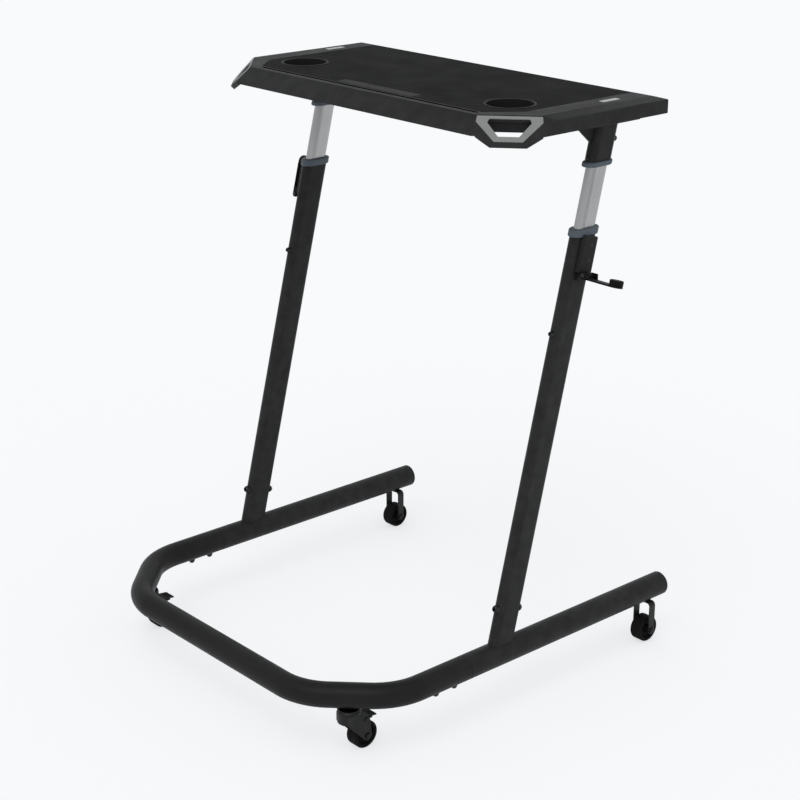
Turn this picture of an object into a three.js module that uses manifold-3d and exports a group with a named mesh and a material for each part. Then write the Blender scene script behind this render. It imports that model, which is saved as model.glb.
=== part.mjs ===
// Bike trainer desk: a U-shaped base on casters, two leaning telescopic legs and a moulded desktop.
// Millimetres, +Z up. +Y runs from the closed end of the base to its open end.
// Heights in the base group count from the centre line of the base tube.

import * as THREE from 'three';
import { mergeVertices } from 'three/addons/utils/BufferGeometryUtils.js';
import { ConvexGeometry } from 'three/addons/geometries/ConvexGeometry.js';
import Module from 'manifold-3d';

const wasm = await Module();
wasm.setup();

// Fits shared by all pieces
const SEAT_GAP = 0.3; // between pieces that touch
const RUNNING_GAP = 0.25; // round a shaft or a sliding tube
const HOLE_GAP = 0.35; // round a screw's shank
const CUT_OVERRUN = 4; // how far a cutting shape passes the face it cuts
const MERGE_TOLERANCE = 0.0001;

// Base frame of round tube
const RAIL_SPACING = 720;
const BASE_TUBE_DIAMETER = 44.7;
const BASE_TUBE_WALL = 1.5;
const CORNER_CUT = 117.8; // from the sharp corner to each end of the diagonal
const BEND_TANGENT = 48.2; // of straight tube, which each bend takes before and after its corner
const NECK_CLEARANCE = 4; // from a bend's end to the neck of the rail inside the tube
const NECK_LENGTH = 100;
const LEG_SETBACK = 83.4; // from the seam with the side rails to the leg's foot
const RAIL_TAIL_LENGTH = 430.6; // from the leg's foot to the rail's open end
const NECK_WALL = 1.5;
const NECK_TAPER = 4;
const PLUG_CAP_LENGTH = 2;
const PLUG_CAP_BEVEL = 1.2;
const PLUG_INSERT_LENGTH = 18;
const RAIL_BOLT_SETBACKS = [66, 23]; // in front of the seam
const RAIL_BOLT_SHANK_DIAMETER = 6;
const RAIL_BOLT_HEAD_DIAMETER = 13;
const RAIL_BOLT_HEAD_HEIGHT = 9;
const NUT_STRIP_WIDTH = 12;
const NUT_STRIP_THICKNESS = 4;
const NUT_STRIP_MARGIN = 8; // past the bolts' axes

// Legs: flat-oval tubes that lean towards the open end of the base
const LEG_LEAN = THREE.MathUtils.degToRad(13.93);
const LEG_THICKNESS = 24;
const LEG_DEPTH = 52;
const LEG_WALL = 1.2;
const LEG_START = 12; // the cut that fits the tube to the rail lies above this
const LEG_TOP = 752;
const SPIGOT_WALL = 1.5;
const SPIGOT_TOP = 120;
const LEG_BOLT_HEIGHT = 84;
const LEG_BOLT_SHANK_DIAMETER = 6;
const LEG_BOLT_HEAD_DIAMETER = 15;
const LEG_BOLT_HEAD_HEIGHT = 9;
const GUIDE_SCREW_DEPTH = 174; // below the leg's top
const GUIDE_SCREW_SHANK_DIAMETER = 5;
const GUIDE_SCREW_HEAD_DIAMETER = 11;
const GUIDE_SCREW_HEAD_HEIGHT = 8;

// Aluminium inner tubes and what rides on them
const INNER_SIDE_SPACE = 1.5; // from the inner tube's flats to the leg's bore
const INNER_END_SPACE = 3.45; // from its round edges to the leg's bore
const INNER_WALL = 1.5;
const INNER_FOOT_MARGIN = 32; // of whole tube below the guide slot
const INNER_TOP_CLEARANCE = 11.54; // below the socket's plate, on the leg's axis
const TRAVEL_UP = 150;
const TRAVEL_DOWN = 96;
const GROOVE_WIDTH = 0.8;
const GROOVE_DEPTH = 0.4;
const GROOVE_OFFSETS = [-15.2, -12.6, -10]; // from the tube's middle, towards its front
const BUSH_LENGTH = 24;
const BUSH_RIM = 3;
const BUSH_WALL = 1.4;

// Collars
const COLLAR_PROUD = 3.5;
const COLLAR_BEVEL = 1.5;
const LOWER_COLLAR_HEIGHT = 14;
const LOWER_SLEEVE_LENGTH = 51;
const BARE_LENGTH = 105; // of the inner tube, seen between the collars
const UPPER_COLLAR_HEIGHT = 9;

// Upper sockets under the desk
const SOCKET_PLATE_THICKNESS = 3;
const SOCKET_PLATE_WIDTH = 64;
const SOCKET_PLATE_FRONT_REACH = 73.27; // from the leg's axis at the plate
const SOCKET_PLATE_REAR_REACH = 52.73;
const GUSSET_THICKNESS = 4;
const SOCKET_LENGTH = 66.54; // from the upper collar to the plate, on the leg's axis
const GUSSET_FOOT_RISE = 25; // above the upper collar
const FRONT_SOCKET_SCREW_RISE = 6; // above the upper collar's front
const REAR_SOCKET_SCREW_RISE = 40; // above the upper collar, on the leg's axis
const FRONT_SOCKET_SCREW_HEAD_DIAMETER = 7.5;
const FRONT_SOCKET_SCREW_HEAD_HEIGHT = 2.8;
const REAR_SOCKET_SCREW_HEAD_DIAMETER = 10;
const REAR_SOCKET_SCREW_HEAD_HEIGHT = 8;

// Cam locks on the legs' outer faces
const LOCK_PROUD = 10.2;
const LOCK_WIDTH = 31;
const LOCK_TOP_RISE = 1.7; // above the leg's top, on its axis
const LOCK_HEIGHT = 63.7;
const LOCK_BEVEL = 1.5;
const LOCK_FOOT_HEIGHT = 15;
const LOCK_FOOT_PROUD = 6.5;
const LUG_THICKNESS = 2.5;
const LUG_RADIUS = 5;
const PIVOT_OUT = 17.2; // from the leg's face
const PIVOT_RISE = 12; // above the housing's foot
const PIVOT_PIN_DIAMETER = 5;
const PIVOT_HEAD_DIAMETER = 8;
const PIVOT_HEAD_HEIGHT = 1.5;

// Lock levers: an arm with two ears, a cam between the lugs and a round grip
const LEVER_EAR_RADIUS = 6.3;
const LEVER_EAR_THICKNESS = 3;
const LEVER_EAR_REACH = 14;
const LEVER_EAR_FLAT = 12;
const LEVER_PLATE_THICKNESS = 3.2;
const LEVER_PLATE_WIDTH = 25;
const LEVER_PLATE_START = 8;
const GRIP_REACH = 65; // from the pivot to the grip's middle
const GRIP_DIAMETER = 24;
const GRIP_BEVEL = 1.5;
const LEVER_TIP_RADIUS = 12;
const CAM_RADIUS = 6.8;
const CAM_LIFT = 0.8;
const CAM_WEB_WIDTH = 8;

// Clamp plungers
const PLUNGER_DIAMETER = 12;
const PLUNGER_LENGTH = 7;
const PLUNGER_NOSE_DIAMETER = 8;

// Desktop: outline and faces
const DESK_THICKNESS = 29.4;
const DESK_OVERHANG = 40.6; // past the rails' axes
const DESK_CREST_REACH = 243.27; // from the leg's axis at its plate to the top's front crest
const DESK_DEPTH = 354; // from the front crest to the rear edge
const SIDE_SLOPE_WIDTH = 22;
const SIDE_SLOPE_DROP = 5.4;
const REAR_SLOPE_WIDTH = 18;
const FRONT_SLOPE_DEPTH = 26;

// Desktop: base panel and the hollow above it
const PANEL_THICKNESS = 6;
const PANEL_MARGIN = 24; // from the desk's outline
const PANEL_SETBACK = 66; // behind the front crest
const PANEL_CORNER_CUT = 40;
const HOLLOW_MARGIN = 18; // from the panel's edge
const TOP_WALL = 5;

// Desktop: mat, slot, strip, inlays
const MAT_THICKNESS = 2;
const MAT_SIDE_MARGIN = 64.6;
const MAT_SETBACK = 22; // behind the front crest
const MAT_REAR_MARGIN = 20;
const MAT_CORNER_WIDTH = 44;
const MAT_CORNER_DEPTH = 54;
const SLOT_SETBACK = 15; // behind the front crest
const SLOT_WIDTH = 7.5;
const SLOT_DEPTH = 12;
const SLOT_LEFT_MARGIN = 56; // from the mat's side
const SLOT_RIGHT_MARGIN = 47;
const STRIP_LEFT_X = -83;
const STRIP_RIGHT_X = 115;
const STRIP_SETBACK = 4; // behind the mat's front
const STRIP_DEPTH = 24;
const STRIP_THICKNESS = 1;
const INLAY_SIDE_MARGIN = 41.6; // to its middle
const INLAY_REAR_MARGIN = 101.6;
const INLAY_LENGTH = 41;
const INLAY_WIDTH = 12;
const INLAY_THICKNESS = 1.6;
const INLAY_PROUD = 0.3;

// Desktop: cup wells
const CUP_SIDE_MARGIN = 65.1; // from the mat's side to the well's axis
const CUP_FRONT_MARGIN = 84.3; // from the mat's front
const CUP_RING_DIAMETER = 89.4;
const CUP_BORE_DIAMETER = 80.2;
const CUP_WALL = 2;
const CUP_FLOOR_CLEARANCE = 1.4; // above the base panel
const CUP_RING_PROUD = 0.8;

// Desktop: corner handles. Their face stands across the corner and leans outward going down
const HANDLE_SIDE_MARGIN = 60.55; // to the face's middle
const HANDLE_SETBACK = 37.6; // behind the front crest
const HANDLE_TURN = THREE.MathUtils.degToRad(41.5);
const HANDLE_LEAN = THREE.MathUtils.degToRad(45);
const LOOP_THICKNESS = 9; // drops are measured down the leaning face
const LOOP_HALF_WIDTH = 55;
const LOOP_FOOT_HALF_WIDTH = 30;
const LOOP_ROOT_DROP = 14;
const LOOP_SHOULDER_DROP = 37.5;
const LOOP_FOOT_DROP = 57;
const OPENING_TOP_HALF_WIDTH = 32.7;
const OPENING_HALF_WIDTH = 35.9;
const OPENING_FOOT_HALF_WIDTH = 17;
const OPENING_TOP_DROP = 7.8;
const OPENING_SHOULDER_DROP = 14.9;
const OPENING_FOOT_DROP = 41.7;
const POCKET_CEILING_DROP = 10.5; // straight down
const POCKET_BACK = 6;
const POCKET_HALF_WIDTH = 38;
const TRIM_PROUD = 1;
const TRIM_THICKNESS = 2.5;
const TRIM_TOP_HALF_WIDTH = 53;
const TRIM_HALF_WIDTH = 54.4;
const TRIM_FOOT_HALF_WIDTH = 23.4;
const TRIM_TOP_DROP = 2.4;
const TRIM_SHOULDER_DROP = 13.9;
const TRIM_FOOT_DROP = 51.6;

// Casters
const WHEEL_DIAMETER = 50;
const WHEEL_WIDTH = 24;
const WHEEL_EDGE_BEVEL = 1.8;
const WHEEL_RIM_THICKNESS = 6;
const WHEEL_RECESS_DEPTH = 5;
const WHEEL_BOSS_DIAMETER = 15;
const AXLE_DIAMETER = 6;
const WHEEL_HEADROOM = 34.35; // from the base tube to the wheel's tread
const AXLE_HEAD_DIAMETER = 11;
const AXLE_HEAD_WIDTH = 3.2;

// Front casters, which swivel under the middle of the corner diagonals
const CASTER_INSET = 59; // from the rail's axis
const CASTER_TRAIL = 28;
const RACE_DIAMETER = 41;
const RACE_HEIGHT = 5.6;
const CROWN_HEIGHT = 5.4;
const STEM_DIAMETER = 9;
const STEM_RISE = 12; // above the ring
const KING_PIN_DIAMETER = 8;
const KING_PIN_HEAD_DIAMETER = 14;
const KING_PIN_HEAD_HEIGHT = 2.4;
const FORK_PLATE_THICKNESS = 2.2;
const FORK_INNER_WIDTH = 28.6;
const FORK_EYE_RADIUS = 9;
const FORK_EYE_START_SHARE = 0.8; // of a half turn, back from the rear
const FORK_SHOULDER_RISE = 7.7; // above the wheel's tread
const FORK_REAR_OVERHANG = 5; // behind the axle
const BRAKE_PIN_DIAMETER = 4;
const BRAKE_PIN_LEAD = 3; // in front of the axle
const BRAKE_PIN_RISE = 7.7; // above the wheel's tread
const PEDAL_WIDTH = 26;
const PEDAL_HUB_RADIUS = 4.5;
const PEDAL_OVERHANG = 22.5; // behind the axle
const PEDAL_TOP_RISE = 11.9; // above the wheel's tread
const PEDAL_TIP_RISE = 8.7;
const PEDAL_THICKNESS = 2.8;
const SHOE_SETBACK = 8; // behind the axle
const SHOE_LENGTH = 8;
const SHOE_RISE = 2.2; // above the wheel's tread
const SHOE_WIDTH = 20;

// Rear casters, fixed under the rails
const REAR_CASTER_INSET = 39; // from the rail's open end
const STRAP_SPACING = 38; // between the strap's legs, centre to centre
const STRAP_THICKNESS = 2.5;
const STRAP_WIDTH = 15;
const STRAP_BEVEL = 7;
const STRAP_BOLT_DIAMETER = 7;
const STRAP_BOLT_RISE = 8;
const STRAP_BOLT_HEAD_DIAMETER = 12;
const STRAP_BOLT_HEAD_HEIGHT = 4;

// How finely round shapes are divided
const TUBE_SIDES = 16;
const BEND_STEPS = 4;
const ROUND_SIDES = 12;
const SMALL_SIDES = 8;
const WHEEL_SIDES = 16;
const CUP_SIDES = 24;
const OVAL_ARC_STEPS = 3;
const DOME_STEPS = 2;

// Sizes that follow from those above: base
const RAIL_X = RAIL_SPACING / 2;
const BASE_TUBE_RADIUS = BASE_TUBE_DIAMETER / 2;
const BASE_BORE_RADIUS = BASE_TUBE_RADIUS - BASE_TUBE_WALL;
const NECK_RADIUS = BASE_BORE_RADIUS - HOLE_GAP;
const NECK_BORE_RADIUS = NECK_RADIUS - NECK_WALL;
const TUBE_BOTTOM = -BASE_TUBE_RADIUS - SEAT_GAP;
const BEND_RADIUS = BEND_TANGENT / Math.tan(Math.PI / 8);
const SEAM_Y = CORNER_CUT + BEND_TANGENT + NECK_CLEARANCE + NECK_LENGTH; // with the side rails
const RAIL_BOLT_YS = RAIL_BOLT_SETBACKS.map((setback) => SEAM_Y - setback);
const LEG_FOOT_Y = SEAM_Y + LEG_SETBACK; // where the leg's axis meets the rail's axis
const RAIL_END_Y = LEG_FOOT_Y + RAIL_TAIL_LENGTH;

// Sizes that follow: legs, in heights along the leg
const INNER_THICKNESS = LEG_THICKNESS - 2 * (LEG_WALL + INNER_SIDE_SPACE);
const INNER_DEPTH = LEG_DEPTH - 2 * (LEG_WALL + INNER_END_SPACE);
const GUIDE_SCREW_HEIGHT = LEG_TOP - GUIDE_SCREW_DEPTH;
const INNER_BOTTOM = GUIDE_SCREW_HEIGHT - TRAVEL_UP - INNER_FOOT_MARGIN;
const UPPER_COLLAR_BOTTOM = LEG_TOP + LOWER_COLLAR_HEIGHT + BARE_LENGTH;
const UPPER_COLLAR_TOP = UPPER_COLLAR_BOTTOM + UPPER_COLLAR_HEIGHT;
const SOCKET_TOP = UPPER_COLLAR_TOP + SOCKET_LENGTH;
const INNER_TOP = SOCKET_TOP - INNER_TOP_CLEARANCE;
const GUSSET_FOOT = UPPER_COLLAR_TOP + GUSSET_FOOT_RISE;
const RIM_SLOPE = Math.tan(LEG_LEAN); // of the level rims, against the leg's own square section
const RIM_FALL = (LEG_DEPTH / 2) * RIM_SLOPE; // from the leg's axis to its front
const FRONT_SOCKET_SCREW_HEIGHT = UPPER_COLLAR_TOP - RIM_FALL + FRONT_SOCKET_SCREW_RISE;
const REAR_SOCKET_SCREW_HEIGHT = UPPER_COLLAR_TOP + REAR_SOCKET_SCREW_RISE;
const LEG_FACE = LEG_THICKNESS / 2;
const LOCK_BASE_X = LEG_FACE + SEAT_GAP;
const LOCK_FACE_X = LEG_FACE + LOCK_PROUD;
const LOCK_TOP = LEG_TOP + LOCK_TOP_RISE;
const LOCK_BOTTOM = LOCK_TOP - LOCK_HEIGHT;
const LOCK_RELIEF_X = LEG_FACE + COLLAR_PROUD + SEAT_GAP; // where the housing passes outside the collar
const LOCK_RELIEF_BOTTOM = LEG_TOP - (LOCK_WIDTH / 2) * RIM_SLOPE - SEAT_GAP;
const LOCK_FOOT_BOTTOM = LOCK_BOTTOM - LOCK_FOOT_HEIGHT;
const PIVOT_X = LEG_FACE + PIVOT_OUT;
const PIVOT_HEIGHT = LOCK_FOOT_BOTTOM + PIVOT_RISE;
const EAR_INNER = LEVER_PLATE_WIDTH / 2 - LEVER_EAR_THICKNESS;
const LUG_OUTER = EAR_INNER - RUNNING_GAP;
const LUG_INNER = LUG_OUTER - LUG_THICKNESS;
const PLATE_TOP = -LEVER_EAR_RADIUS + LEVER_PLATE_THICKNESS; // of the open lever's arm, from the pivot
const LEVER_REACH = RAIL_X + PIVOT_X + GRIP_REACH + LEVER_TIP_RADIUS;

// Sizes that follow: desktop
const SOCKET_PLATE_BOTTOM = SOCKET_TOP * Math.cos(LEG_LEAN);
const SOCKET_PLATE_TOP = SOCKET_PLATE_BOTTOM + SOCKET_PLATE_THICKNESS;
const DESK_BOTTOM = SOCKET_PLATE_TOP + SEAT_GAP;
const DESK_TOP = DESK_BOTTOM + DESK_THICKNESS;
const PANEL_TOP = DESK_BOTTOM + PANEL_THICKNESS;
const HOLLOW_TOP = DESK_TOP - TOP_WALL;
const LEG_HEAD_Y = LEG_FOOT_Y + SOCKET_TOP * Math.sin(LEG_LEAN); // of the leg's axis at the plate
const SOCKET_PLATE_FRONT_Y = LEG_HEAD_Y - SOCKET_PLATE_FRONT_REACH;
const SOCKET_PLATE_REAR_Y = LEG_HEAD_Y + SOCKET_PLATE_REAR_REACH;
const DESK_HALF_WIDTH = RAIL_X + DESK_OVERHANG;
const FRONT_CREST_Y = LEG_HEAD_Y - DESK_CREST_REACH;
const FRONT_FOOT_Y = FRONT_CREST_Y - FRONT_SLOPE_DEPTH;
const DESK_REAR_Y = FRONT_CREST_Y + DESK_DEPTH;
const PANEL_FRONT_Y = FRONT_CREST_Y + PANEL_SETBACK;
const MAT_HALF_WIDTH = DESK_HALF_WIDTH - MAT_SIDE_MARGIN;
const MAT_FRONT_Y = FRONT_CREST_Y + MAT_SETBACK;
const MAT_REAR_Y = DESK_REAR_Y - MAT_REAR_MARGIN;
const SLOT_Y = FRONT_CREST_Y + SLOT_SETBACK;
const SLOT_LEFT_X = -MAT_HALF_WIDTH + SLOT_LEFT_MARGIN;
const SLOT_RIGHT_X = MAT_HALF_WIDTH - SLOT_RIGHT_MARGIN;
const STRIP_FRONT_Y = MAT_FRONT_Y + STRIP_SETBACK;
const STRIP_REAR_Y = STRIP_FRONT_Y + STRIP_DEPTH;
const INLAY_X = DESK_HALF_WIDTH - INLAY_SIDE_MARGIN;
const INLAY_Y = DESK_REAR_Y - INLAY_REAR_MARGIN;
const CUP_X = MAT_HALF_WIDTH - CUP_SIDE_MARGIN;
const CUP_Y = MAT_FRONT_Y + CUP_FRONT_MARGIN;
const CUP_DEPTH = DESK_THICKNESS - PANEL_THICKNESS - CUP_WALL - CUP_FLOOR_CLEARANCE;
const HANDLE_X = DESK_HALF_WIDTH - HANDLE_SIDE_MARGIN;
const HANDLE_Y = FRONT_CREST_Y + HANDLE_SETBACK;

// Sizes that follow: casters
const WHEEL_RADIUS = WHEEL_DIAMETER / 2;
const WHEEL_TOP_DROP = BASE_TUBE_RADIUS + WHEEL_HEADROOM; // below the base tube's centre line
const AXLE_DROP = WHEEL_TOP_DROP + WHEEL_RADIUS;
const FLOOR_HEIGHT = AXLE_DROP + WHEEL_RADIUS; // from the floor to the base tube's centre line
const STRAP_HALF_SPAN = (STRAP_SPACING + STRAP_THICKNESS) / 2;
const REAR_CASTER_Y = RAIL_END_Y - REAR_CASTER_INSET;
const CASTER_X = RAIL_X - CASTER_INSET;
const CASTER_Y = CORNER_CUT - CASTER_INSET;
const FORK_SHOULDER_DROP = WHEEL_TOP_DROP - FORK_SHOULDER_RISE;
const FORK_FRONT_REACH = Math.sqrt((RACE_DIAMETER / 2) ** 2 - (FORK_INNER_WIDTH / 2) ** 2);
const FORK_REAR_REACH = CASTER_TRAIL + FORK_REAR_OVERHANG;
const BRAKE_PIN_REACH = CASTER_TRAIL - BRAKE_PIN_LEAD;
const BRAKE_PIN_DROP = WHEEL_TOP_DROP - BRAKE_PIN_RISE;
const FORK_REAR_DROP = BRAKE_PIN_DROP;
const PEDAL_REACH = CASTER_TRAIL + PEDAL_OVERHANG;
const PEDAL_TOP_DROP = WHEEL_TOP_DROP - PEDAL_TOP_RISE;
const PEDAL_TIP_DROP = WHEEL_TOP_DROP - PEDAL_TIP_RISE;
const SHOE_START = CASTER_TRAIL + SHOE_SETBACK;
const SHOE_END = SHOE_START + SHOE_LENGTH;
const SHOE_DROP = WHEEL_TOP_DROP - SHOE_RISE;

// Materials
const powderBlack = { color: 0x1c1c1e, roughness: 0.5, metalness: 0.3 };
const mouldedBlack = { color: 0x2a2a2c, roughness: 0.6, metalness: 0 };
const cupBlack = { color: 0x1a1a1b, roughness: 0.6, metalness: 0 };
const matBlack = { color: 0x161617, roughness: 0.85, metalness: 0 };
const collarGrey = { color: 0x40454a, roughness: 0.55, metalness: 0 };
const trimGrey = { color: 0x66676a, roughness: 0.5, metalness: 0 };
const stripGrey = { color: 0x333436, roughness: 0.7, metalness: 0 };
const bareAluminium = { color: 0xa6a7a9, roughness: 0.35, metalness: 1 };
const casterBlack = { color: 0x121213, roughness: 0.45, metalness: 0.3 };
const boltBlack = { color: 0x121213, roughness: 0.4, metalness: 0.8 };
const platedSteel = { color: 0x8c8d90, roughness: 0.35, metalness: 1 };
const tyreBlack = { color: 0x101011, roughness: 0.8, metalness: 0 };
const silver = { color: 0xb4b6ba, roughness: 0.3, metalness: 0.9 };
const boardBlack = { color: 0x202021, roughness: 0.9, metalness: 0 };

// Solids: joining, cutting and merging closed meshes
function solidOf(geometry) {
  const plain = geometry.clone();
  plain.deleteAttribute('normal');
  plain.deleteAttribute('uv');
  const merged = mergeVertices(plain, MERGE_TOLERANCE);
  return new wasm.Manifold(new wasm.Mesh({
    numProp: 3,
    vertProperties: new Float32Array(merged.attributes.position.array),
    triVerts: new Uint32Array(merged.index.array),
  }));
}

function geometryOf(solid) {
  const mesh = solid.getMesh();
  const geometry = new THREE.BufferGeometry();
  geometry.setAttribute('position', new THREE.BufferAttribute(mesh.vertProperties, 3));
  geometry.setIndex(new THREE.BufferAttribute(mesh.triVerts, 1));
  return geometry;
}

function cut(body, ...tools) {
  return geometryOf(tools.reduce((solid, tool) => solid.subtract(solidOf(tool)), solidOf(body)));
}

function join(...bodies) {
  const [first, ...others] = bodies.map(solidOf);
  return geometryOf(others.reduce((solid, other) => solid.add(other), first));
}

function common(first, second) {
  return geometryOf(solidOf(first).intersect(solidOf(second)));
}

// Turns a closed mesh inside out where its faces point inward
function outward(geometry) {
  const positions = geometry.attributes.position;
  const index = geometry.index.array;
  const [a, b, c] = [new THREE.Vector3(), new THREE.Vector3(), new THREE.Vector3()];
  let volume = 0;
  for (let i = 0; i < index.length; i += 3) {
    a.fromBufferAttribute(positions, index[i]);
    b.fromBufferAttribute(positions, index[i + 1]);
    c.fromBufferAttribute(positions, index[i + 2]);
    volume += a.dot(b.cross(c));
  }
  if (volume < 0) {
    for (let i = 0; i < index.length; i += 3) {
      [index[i], index[i + 1]] = [index[i + 1], index[i]];
    }
  }
  return geometry;
}

// Basic shapes
function block(x0, x1, y0, y1, z0, z1) {
  const geometry = new THREE.BoxGeometry(x1 - x0, y1 - y0, z1 - z0);
  return geometry.translate((x0 + x1) / 2, (y0 + y1) / 2, (z0 + z1) / 2);
}

function outline(points) {
  return new THREE.Shape(points.map(([a, b]) => new THREE.Vector2(a, b)));
}

// Outline in x and z, pushed along y
function alongY(shape, y0, y1, curveSegments = SMALL_SIDES) {
  const geometry = new THREE.ExtrudeGeometry(shape, { depth: y1 - y0, bevelEnabled: false, curveSegments });
  return geometry.rotateX(Math.PI / 2).translate(0, y1, 0);
}

// Outline in y and z, pushed along x
function alongX(shape, x0, x1, curveSegments = SMALL_SIDES) {
  const geometry = new THREE.ExtrudeGeometry(shape, { depth: x1 - x0, bevelEnabled: false, curveSegments });
  const turn = new THREE.Matrix4().makeBasis(
    new THREE.Vector3(0, 1, 0),
    new THREE.Vector3(0, 0, 1),
    new THREE.Vector3(1, 0, 0),
  );
  return geometry.applyMatrix4(turn).translate(x0, 0, 0);
}

// Outline in x and y, pushed along z
function alongZ(shape, z0, z1, curveSegments = SMALL_SIDES) {
  const geometry = new THREE.ExtrudeGeometry(shape, { depth: z1 - z0, bevelEnabled: false, curveSegments });
  return geometry.translate(0, 0, z0);
}

// Profile of [radius, height] points turned round the z axis
function turned(profile, sides) {
  const points = profile.map(([radius, height]) => new THREE.Vector2(radius, height));
  const geometry = new THREE.LatheGeometry(points, sides);
  geometry.deleteAttribute('normal');
  geometry.deleteAttribute('uv');
  return outward(mergeVertices(geometry, MERGE_TOLERANCE)).rotateX(Math.PI / 2);
}

// A ring's profile closes on itself
function turnedRing(profile, sides) {
  return turned([...profile, profile[0]], sides);
}

function disc(diameter, z0, z1, sides = SMALL_SIDES) {
  return turned([[0, z0], [diameter / 2, z0], [diameter / 2, z1], [0, z1]], sides);
}

// A hole's flats, not its corners, lie at its radius, so a shaft fits it
function hole(diameter, z0, z1, sides = SMALL_SIDES) {
  return disc(diameter / Math.cos(Math.PI / sides), z0, z1, sides);
}

// Quarter outline of a domed head that sits on z = seat, from its rim up to its crown
function domeProfile(headDiameter, headHeight, seat) {
  const dome = [];
  for (let step = 0; step <= DOME_STEPS; step += 1) {
    const angle = (step / DOME_STEPS) * (Math.PI / 2);
    const radius = step < DOME_STEPS ? (headDiameter / 2) * Math.cos(angle) : 0;
    dome.push([radius, seat + headHeight * Math.sin(angle)]);
  }
  return dome;
}

// A domed screw: its head sits on z = 0 and rises, its shank goes down
function domedScrew(shankDiameter, shankLength, headDiameter, headHeight) {
  return turned([
    [0, -shankLength],
    [shankDiameter / 2, -shankLength],
    [shankDiameter / 2, 0],
    ...domeProfile(headDiameter, headHeight, 0),
  ], SMALL_SIDES);
}

// A bolt across a tube: its domed heads sit on z = -seat and z = seat
function throughBolt(shankDiameter, headDiameter, headHeight, seat) {
  const upper = domeProfile(headDiameter, headHeight, seat);
  const lower = upper.map(([radius, height]) => [radius, -height]).reverse();
  return turned([
    ...lower,
    [shankDiameter / 2, -seat],
    [shankDiameter / 2, seat],
    ...upper,
  ], SMALL_SIDES);
}

// Flat-oval outline, long in y
function oval(thickness, depth, Type = THREE.Shape) {
  const radius = thickness / 2;
  const middle = depth / 2 - radius;
  const shape = new Type();
  shape.moveTo(radius, -middle);
  shape.lineTo(radius, middle);
  shape.absarc(0, middle, radius, 0, Math.PI, false);
  shape.lineTo(-radius, -middle);
  shape.absarc(0, -middle, radius, Math.PI, 2 * Math.PI, false);
  return shape;
}

function ovalTube(thickness, depth, boreThickness, boreDepth, z0, z1) {
  const shape = oval(thickness, depth);
  shape.holes.push(oval(boreThickness, boreDepth, THREE.Path));
  return alongZ(shape, z0, z1, OVAL_ARC_STEPS);
}

function ovalBar(thickness, depth, z0, z1) {
  return alongZ(oval(thickness, depth), z0, z1, OVAL_ARC_STEPS);
}

// A path of straight runs whose corners are rounded in circular arcs
class RoundedPath extends THREE.Curve {
  constructor(corners, radius, steps) {
    super();
    this.stations = [];
    const last = corners.length - 1;
    corners.forEach((corner, i) => {
      const before = corner.clone().sub(corners[Math.max(i - 1, 0)]).normalize();
      const after = corners[Math.min(i + 1, last)].clone().sub(corner).normalize();
      if (i === 0 || i === last) {
        this.stations.push([corner, i === 0 ? after : before]);
        return;
      }
      const angle = before.angleTo(after);
      const side = after.clone().addScaledVector(before, -before.dot(after)).normalize();
      const start = corner.clone().addScaledVector(before, -radius * Math.tan(angle / 2));
      const centre = start.addScaledVector(side, radius);
      for (let step = 0; step <= steps; step += 1) {
        const turn = (angle * step) / steps;
        const point = centre.clone();
        point.addScaledVector(side, -radius * Math.cos(turn));
        point.addScaledVector(before, radius * Math.sin(turn));
        const tangent = before.clone().multiplyScalar(Math.cos(turn));
        this.stations.push([point, tangent.addScaledVector(side, Math.sin(turn))]);
      }
    });
  }

  get runs() {
    return this.stations.length - 1;
  }

  getSpacedPoints() {
    return this.stations.map(([point]) => point);
  }

  getTangentAt(share) {
    return this.stations[Math.round(share * this.runs)][1].clone();
  }
}

// Base tube, rails and their fasteners
function circle(radius, Type = THREE.Shape) {
  const shape = new Type();
  shape.absarc(0, 0, radius, 0, 2 * Math.PI, false);
  return shape;
}

function boltHole(diameter, x, y) {
  return hole(diameter + 2 * HOLE_GAP, -BASE_TUBE_DIAMETER, 0).translate(x, y, 0);
}

function baseFrontTube() {
  const corners = [
    [-RAIL_X, SEAM_Y],
    [-RAIL_X, CORNER_CUT],
    [-RAIL_X + CORNER_CUT, 0],
    [RAIL_X - CORNER_CUT, 0],
    [RAIL_X, CORNER_CUT],
    [RAIL_X, SEAM_Y],
  ].map(([x, y]) => new THREE.Vector3(x, y, 0));
  const path = new RoundedPath(corners, BEND_RADIUS, BEND_STEPS);
  const section = circle(BASE_TUBE_RADIUS);
  section.holes.push(circle(BASE_BORE_RADIUS, THREE.Path));
  const tube = new THREE.ExtrudeGeometry(section, {
    extrudePath: path,
    steps: path.runs,
    curveSegments: TUBE_SIDES / 2,
  });
  const holes = [];
  for (const side of [-1, 1]) {
    for (const y of RAIL_BOLT_YS) {
      holes.push(boltHole(RAIL_BOLT_SHANK_DIAMETER, side * RAIL_X, y));
    }
    holes.push(boltHole(STEM_DIAMETER, side * CASTER_X, CASTER_Y));
  }
  return cut(tube, ...holes);
}

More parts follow.
